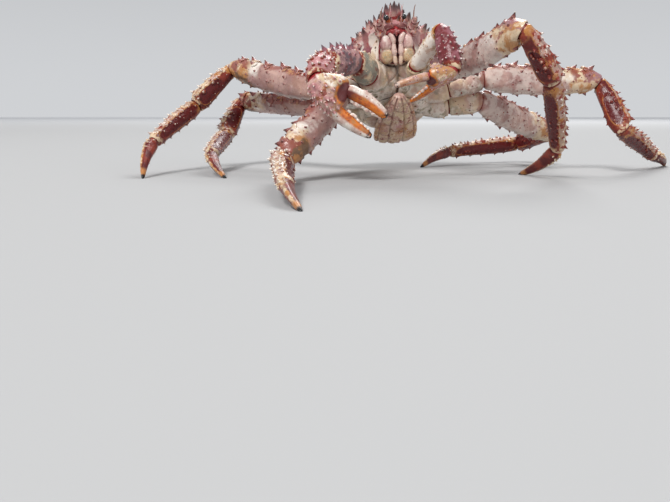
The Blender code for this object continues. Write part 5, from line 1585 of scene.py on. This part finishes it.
def claw_finish(name, pale_start, pale_share):
    """A claw: rosy and spined outside, pale towards the hinge, with orange horny fingers."""
    g = Graph(name)
    colour = g.mix(blotch(g, 60, 0.5, 0.15), ROSE, PALE_PINK)
    colour = patched(g, colour, (75, 0.45, 0.06, 0.8, AMBER), (130, 0.3, 0.06, 0.8, RED_BROWN))
    ragged = g.ragged("outer", 70, 0.9, 4)
    bright = g.mix(blotch(g, 80, 1 - pale_share, 0.15), WHITE, CREAM)
    bright = g.mix(blotch(g, 95, 0.75 - pale_share, 0.12), bright, AMBER, 0.8)
    colour = g.mix(g.span(ragged, pale_start, pale_start + 0.3), colour, bright)
    socket = g.mix(g.span(g.mask("stain"), 0.55, 0.85), g.mix(blotch(g, 140, 0.5), ORANGE, AMBER), MAROON)
    colour = g.mix(g.span(g.mask("stain"), 0.18, 0.5), colour, socket)
    finger = g.mask("tint")
    inner = g.span(g.ragged("outer", 120, 0.3), 0.5, 0.05)
    pale = g.mix(blotch(g, 90, 1 - pale_share, 0.25), WHITE, PALE_PINK)
    pale = g.mix(blotch(g, 120, 0.6 - pale_share, 0.15), pale, AMBER, 0.7)
    glow = g.mix(blotch(g, 80, 0.4, 0.15), ORANGE, BURNT_ORANGE)
    glow = g.mix(blotch(g, 140, 0.3, 0.12), glow, AMBER, 0.8)
    glow = g.mix(g.span(g.ragged("along", 90, 0.2), 0.45, 0.15), glow, MAROON)
    horn = g.mix(inner, pale, glow)
    horn = g.mix(spots(g, 230, 0.2), horn, RED_BROWN)
    colour = g.mix(finger, colour, horn)
    tip = g.math("MULTIPLY", finger, g.span(g.mask("along"), 0.86, 0.96))
    colour = g.mix(g.math("MULTIPLY", tip, blotch(g, 240, 0.5)), colour, DARK)
    tooth = g.mix(blotch(g, 200, 0.5, 0.2), WHITE, PALE_PINK)
    colour = g.mix(g.span(g.mask("skin"), -0.3, -0.7), colour, tooth)
    colour = tipped(g, colour, ROSE, PALE_PINK, 0.4)
    colour = g.mix(g.span(g.mask("spine"), 0.6, 0.9), colour, WHITE)
    colour = g.mix(g.span(g.mask("stain"), 0.5, 0.8), colour, MAROON)
    colour = joint_skin(g, colour, CRIMSON)
    return g.done(colour, g.gloss(0.2, 0.34), fine_bumps(g), coat=0.3)


# The flanks' colours: where across the body the pale right side, whitened as painted sunlight, gives way to
# the mauve left one, and where the mauve begins across and up on the mouth field's left edge, in m.
PAINTED_SUNLIGHT_ACROSS = (-0.04, -0.055)
MAUVE_ACROSS = (-0.034, -0.027)
MAUVE_UP = (0.143, 0.152)


def back_finish(name):
    """The back shell: burgundy and mauve, paler at the face, with dusky spine tips."""
    g = Graph(name)
    colour = g.mix(blotch(g, 22, 0.5, 0.2), BURGUNDY, MAUVE)
    colour = patched(g, colour, (48, 0.4, 0.1, 0.75, LILAC), (110, 0.3, 0.06, 0.6, RED_BROWN))
    front = g.span(g.ragged("along", 60, 0.2), 0.8, 0.98)
    colour = g.mix(front, colour, g.mix(blotch(g, 80, 0.5, 0.15), LILAC, PALE_PINK), 0.75)
    flank = g.mix(blotch(g, 50, 0.45, 0.15), LILAC, MAUVE)
    behind = g.span(g.mask("along"), 0.965, 0.93)
    # Painted sunlight: the flank turns white towards the body's right side, by its place across the body.
    painted_sunlight = g.math("MULTIPLY", behind, g.span(g.part_of("X"), *PAINTED_SUNLIGHT_ACROSS, 0.15, 0.85))
    flank = g.mix(g.math("MULTIPLY", painted_sunlight, blotch(g, 55, 0.7, 0.1)), flank, WHITE)
    flank = g.mix(g.math("SUBTRACT", 1.0, behind), flank, ROSE)
    colour = g.mix(g.span(g.mask("outer"), 0.12, -0.1), colour, flank)
    groove = g.math("MULTIPLY", g.span(g.mask("tint"), 0.2, 1.2), g.span(g.mask("spine"), 0.01, 0.0))
    colour = g.mix(groove, colour, MAROON, 0.8)
    colour = tipped(g, colour, g.mix(blotch(g, 60, 0.5, 0.1), ROSE, PALE_PINK), DUSK, 0.5)
    belt = g.math("MULTIPLY", g.span(g.mask("spine"), 0.05, 0.3), g.span(g.mask("spine"), 0.7, 0.45))
    colour = g.mix(g.math("MULTIPLY", belt, blotch(g, 70, 0.4)), colour, CRIMSON)
    return g.done(colour, g.gloss(0.26, 0.44), fine_bumps(g), subsurface=0.03)


def underside_finish(name):
    """The underbody: cream mottled with grey green, dark seams, a red mouth field."""
    g = Graph(name)
    colour = g.mix(blotch(g, 45, 0.5, 0.2), CREAM, PALE_PINK)
    colour = patched(g, colour, (38, 0.35, 0.15, 0.7, GREY_GREEN),
                     (60, 0.55, 0.14, 0.75, WHITE),
                     (60, 0.2, 0.06, 0.7, OLIVE))
    colour = g.mix(spots(g, 75, 0.16), colour, SPOT_BROWN)
    shade = g.mix(blotch(g, 100, 0.5, 0.2), SEAM_BROWN, DARK)
    seam = g.math("MULTIPLY", g.mask("tint"), g.span(g.noise(50), 0.2, 0.6, 0.5, 1.0))
    colour = g.mix(g.span(seam, 0.3, 0.95), colour, shade)
    mauve = g.math("MULTIPLY", g.span(g.part_of("X"), *MAUVE_ACROSS), g.span(g.part_of("Z"), *MAUVE_UP))
    colour = g.mix(mauve, colour, g.mix(blotch(g, 60, 0.5, 0.2), LILAC, MAUVE), 0.8)
    far = g.span(g.ragged("stain", 60, 0.3), -0.35, -0.7)
    colour = g.mix(far, colour, g.mix(blotch(g, 50, 0.5, 0.2), CREAM, PALE_PINK), 0.75)
    soft = g.mix(g.span(g.mask("stain"), 0.7, 0.9), CRIMSON, BURGUNDY)
    lumps = g.mix(blotch(g, 220, 0.5), ROSE, LILAC)
    lumpy = g.math("MULTIPLY", blotch(g, 170, 0.35, 0.12), g.span(g.mask("stain"), 0.95, 0.7))
    soft = g.mix(lumpy, soft, lumps)
    colour = g.mix(g.span(g.mask("stain"), 0.3, 0.5), colour, soft)
    colour = tipped(g, colour, CREAM, OCHRE, 0.5)
    colour = joint_skin(g, colour, RED_BROWN)
    return g.done(colour, g.gloss(0.25, 0.42), fine_bumps(g), subsurface=0.05)


def tail_finish(name):
    """The folded tail: cream and amber plates with brown seams."""
    g = Graph(name)
    colour = g.mix(blotch(g, 40, 0.5, 0.2), CREAM, PALE_PINK)
    colour = patched(g, colour, (50, 0.4, 0.15, 0.7, AMBER),
                     (90, 0.3, 0.06, 0.6, ROSE),
                     (140, 0.25, 0.06, 0.7, RED_BROWN))
    colour = g.mix(g.math("MULTIPLY", g.span(g.mask("tint"), 0.3, 0.95), 0.65), colour,
                   g.mix(blotch(g, 100, 0.5, 0.2), TAIL_BROWN, LILAC))
    colour = tipped(g, colour, CREAM, WHITE, 0.5)
    return g.done(colour, g.gloss(0.25, 0.42), fine_bumps(g), subsurface=0.05)


def jaw_finish(name):
    """A jaw foot: rosy panel above, speckled ochre base, and pinkish palp beads."""
    g = Graph(name)
    upper = g.span(g.ragged("along", 120, 0.1), 0.62, 0.48)
    speckled = g.mix(blotch(g, 110, 0.5, 0.2), CREAM, SAND)
    speckled = g.mix(blotch(g, 140, 0.35, 0.15), speckled, GREY_GREEN, 0.6)
    speckled = g.mix(blotch(g, 190, 0.25, 0.1), speckled, ROSE, 0.6)
    speckled = g.mix(spots(g, 520, 0.3), speckled, OCHRE)
    beside = g.math("ABSOLUTE", g.mask("side"))
    edge = g.span(g.math("ADD", beside, g.math("MULTIPLY", g.noise(250), 0.5)), 0.75, 1.25)
    panel = g.mix(blotch(g, 130, 0.5, 0.3), JAW_PINK, LILAC)
    panel = g.mix(blotch(g, 90, 0.4, 0.2), panel, WHITE, 0.6)
    colour = g.mix(upper, speckled, panel)
    colour = g.mix(edge, colour, MAUVE, 0.8)
    beads = g.mix(g.span(g.math("ADD", g.mask("outer"), g.noise(150, 3)), 0.3, 1.4), ROSE, JAW_PINK)
    beads = g.mix(g.span(g.mask("stain"), 0.6, 0.9), beads, CREAM, 0.5)
    beads = g.mix(blotch(g, 260, 0.3), beads, LILAC, 0.6)
    colour = g.mix(g.span(g.mask("tint"), 0.4, 0.6), colour, beads)
    colour = g.mix(g.span(g.mask("skin"), 0.2, 0.7), colour, BLOOD)
    return g.done(colour, 0.26, fine_bumps(g), subsurface=0.08)


def feeler_finish(name):
    """The feelers: crimson and lilac, with ringed lashes."""
    g = Graph(name)
    colour = g.mix(blotch(g, 170, 0.6), CRIMSON, LILAC)
    colour = patched(g, colour, (200, 0.4, 0.06, 1.0, PALE_PINK), (240, 0.12, 0.06, 1.0, ORANGE))
    colour = g.mix(g.span(g.mask("stain"), 0.4, 0.6), colour, ROSE, 0.6)
    rings = g.math("SINE", g.math("MULTIPLY", g.mask("along"), 160))
    lash = g.math("MULTIPLY", g.span(g.mask("tint"), 0.5, 0.7), g.span(rings, 0.3, 0.8))
    colour = g.mix(lash, colour, CREAM)
    colour = tipped(g, colour, PALE_PINK, MAROON, 0.5)
    colour = joint_skin(g, colour, BLOOD)
    return g.done(colour, 0.3, fine_bumps(g))


def eye_finish(name):
    """An orange stalk that ends in a glossy black cornea."""
    g = Graph(name)
    stalk = g.mix(g.span(g.noise(400, 3), 0.4, 0.6), ORANGE, RED_BROWN)
    colour = g.mix(g.span(g.mask("skin"), 0.3, 0.7), stalk, BLACK)
    return g.done(colour, 0.08, ((g.cells(3500), 0.02),), coat=1.0)


# Camera, floor and light.

# The camera: its place in m, its tilt from straight down, and its lens and sensor in mm.
CAMERA_PLACE = (-0.116, -0.796, 0.0727)
CAMERA_TILT = math.radians(79.07)
LENS = 38.69
SENSOR = 36.0
# The lights: name, place, target and width in m, and power in W.
LIGHTS = (("key", (-2.4, -4.2, 5.7), (0, 0, 0.08), 2.2, 480),
          ("fill", (4.5, -4.2, 2.1), (0, 0, 0.08), 4.2, 70),
          ("back", (1.2, 4.5, 4.5), (0, 0, 0.1), 3.0, 240))
# The sky: its colour, and its brightness at the horizon and overhead.
SKY = (0.95, 0.97, 1.0, 1)
SKY_LOW = 0.66
SKY_HIGH = 0.46
# The floor: its half width, and where it pales towards the horizon, in m.
FLOOR_HALF = 9.0
FLOOR_PALES = (2.0, 9.0)
FLOOR_NEAR = (0.42, 0.42, 0.42, 1)
FLOOR_FAR = (0.80, 0.81, 0.83, 1)


def make_camera():
    """The photograph's view: a little above the floor, tilted down by eleven degrees."""
    data = bpy.data.cameras.new("camera")
    data.sensor_width = SENSOR
    data.lens = LENS
    camera = bpy.data.objects.new("camera", data)
    camera.location = CAMERA_PLACE
    camera.rotation_euler = (CAMERA_TILT, 0, 0)
    bpy.context.scene.collection.objects.link(camera)
    bpy.context.scene.camera = camera


def make_floor():
    """A plain pale floor that reaches to the horizon."""
    mesh = bpy.data.meshes.new("floor")
    corners = [(x * FLOOR_HALF, y * FLOOR_HALF, 0) for x, y in ((-1, -1), (1, -1), (1, 1), (-1, 1))]
    mesh.from_pydata(corners, [], [(0, 1, 2, 3)])
    floor = bpy.data.objects.new("floor", mesh)
    bpy.context.scene.collection.objects.link(floor)
    g = Graph("floor_paint")
    away = g.node("ShaderNodeVectorMath", operation="LENGTH")
    g.feed(away.inputs[0], g.place)
    paled = g.span(away.outputs["Value"], *FLOOR_PALES)
    g.feed(g.shader.inputs["Base Color"], g.mix(paled, FLOOR_NEAR, FLOOR_FAR))
    g.shader.inputs["Roughness"].default_value = 0.8
    g.shader.inputs["Specular IOR Level"].default_value = 0.1
    mesh.materials.append(g.finish)


def area_light(name, place, target, size, power):
    """A square light that faces its target."""
    data = bpy.data.lights.new(name, "AREA")
    data.size = size
    data.energy = power
    light = bpy.data.objects.new(name, data)
    light.location = place
    light.rotation_euler = (Vector(target) - Vector(place)).to_track_quat("-Z", "Y").to_euler()
    bpy.context.scene.collection.objects.link(light)


def make_lights():
    """A large soft key, a fill, a light from behind, and a sky that is brighter at the horizon."""
    for row in LIGHTS:
        area_light(*row)
    world = bpy.data.worlds.new("studio")
    world.use_nodes = True
    tree = world.node_tree
    place = tree.nodes.new("ShaderNodeTexCoord")
    parts = tree.nodes.new("ShaderNodeSeparateXYZ")
    rise = tree.nodes.new("ShaderNodeMapRange")
    rise.interpolation_type = "SMOOTHSTEP"
    for key, value in (("From Min", 0.0), ("From Max", 0.4), ("To Min", SKY_LOW), ("To Max", SKY_HIGH)):
        rise.inputs[key].default_value = value
    tree.links.new(place.outputs["Generated"], parts.inputs["Vector"])
    tree.links.new(parts.outputs["Z"], rise.inputs["Value"])
    tree.links.new(rise.outputs["Result"], tree.nodes["Background"].inputs["Strength"])
    tree.nodes["Background"].inputs["Color"].default_value = SKY
    bpy.context.scene.world = world
    bpy.context.scene.view_settings.view_transform = "Standard"


def main():
    """Makes the camera, every piece of the crab, the floor and the lights."""
    rng = random.Random(SEED)
    make_camera()
    finishes = {
        "ischium": hip_finish("hip"), "dactylus": toe_finish("toe"),
        "right_merus": thigh_finish("thigh_right", 0.15, BARK, RED_BROWN),
        "left_merus": thigh_finish("thigh_left", 0.55, CREAM, MAUVE),
        "right_carpus": shin_finish("knee_right", 0.35, 0.7),
        "left_carpus": shin_finish("knee_left", 0.25, 0.15),
        "right_propodus": shin_finish("shin_right", 0.45, 0.7),
        "left_propodus": shin_finish("shin_left", 0.4, 0.3),
        "claw_right_ischium": arm_finish("arm_right_base", GREY_GREEN, CREAM, RED_BROWN, CREAM, MAUVE),
        "claw_left_ischium": arm_finish("arm_left_base", CREAM, WHITE, OLIVE, CREAM, MAUVE),
        # The right arm's upper segment is grey purple as painted shade over a pale shell.
        "claw_right_merus": arm_finish("arm_right_upper", GREY_PURPLE, LILAC, RED_BROWN, MAUVE, GREY_PURPLE),
        # The left arm's upper segment is white: the pale shell, whitened further as a painted sunlit
        # highlight.
        "claw_left_merus": arm_finish("arm_left_upper", WHITE, CREAM, OCHRE, AMBER, WHITE, 0.5, AMBER),
        "claw_right_carpus": arm_finish("arm_right_lower", ROSE, MAUVE, RED_BROWN, RED_BROWN, WHITE),
        "claw_left_carpus": arm_finish("arm_left_lower", BURGUNDY, MAUVE, RED_BROWN, MAUVE, WHITE,
                                       wart=MAROON),
        "claw_right": claw_finish("claw_right", 0.45, 0.5),
        "claw_left": claw_finish("claw_left", 0.6, 0.15),
    }
    coxae = [make_leg(name, finishes, rng) for name in LEGS]
    coxae += [make_arm(name, finishes, rng) for name in ARMS]
    make_carapace(back_finish("back"), rng)
    make_underbody(underside_finish("underside"), coxae, rng)
    make_abdomen(tail_finish("tail"), rng)
    eye, feeler, jaw = eye_finish("eye"), feeler_finish("feeler"), jaw_finish("jaw")
    for word, side in (("left", 1), ("right", -1)):
        make_eye(word, side, eye)
        make_antenna(word, side, feeler)
        make_jaw_foot(word, side, jaw)
    make_floor()
    make_lights()


main()
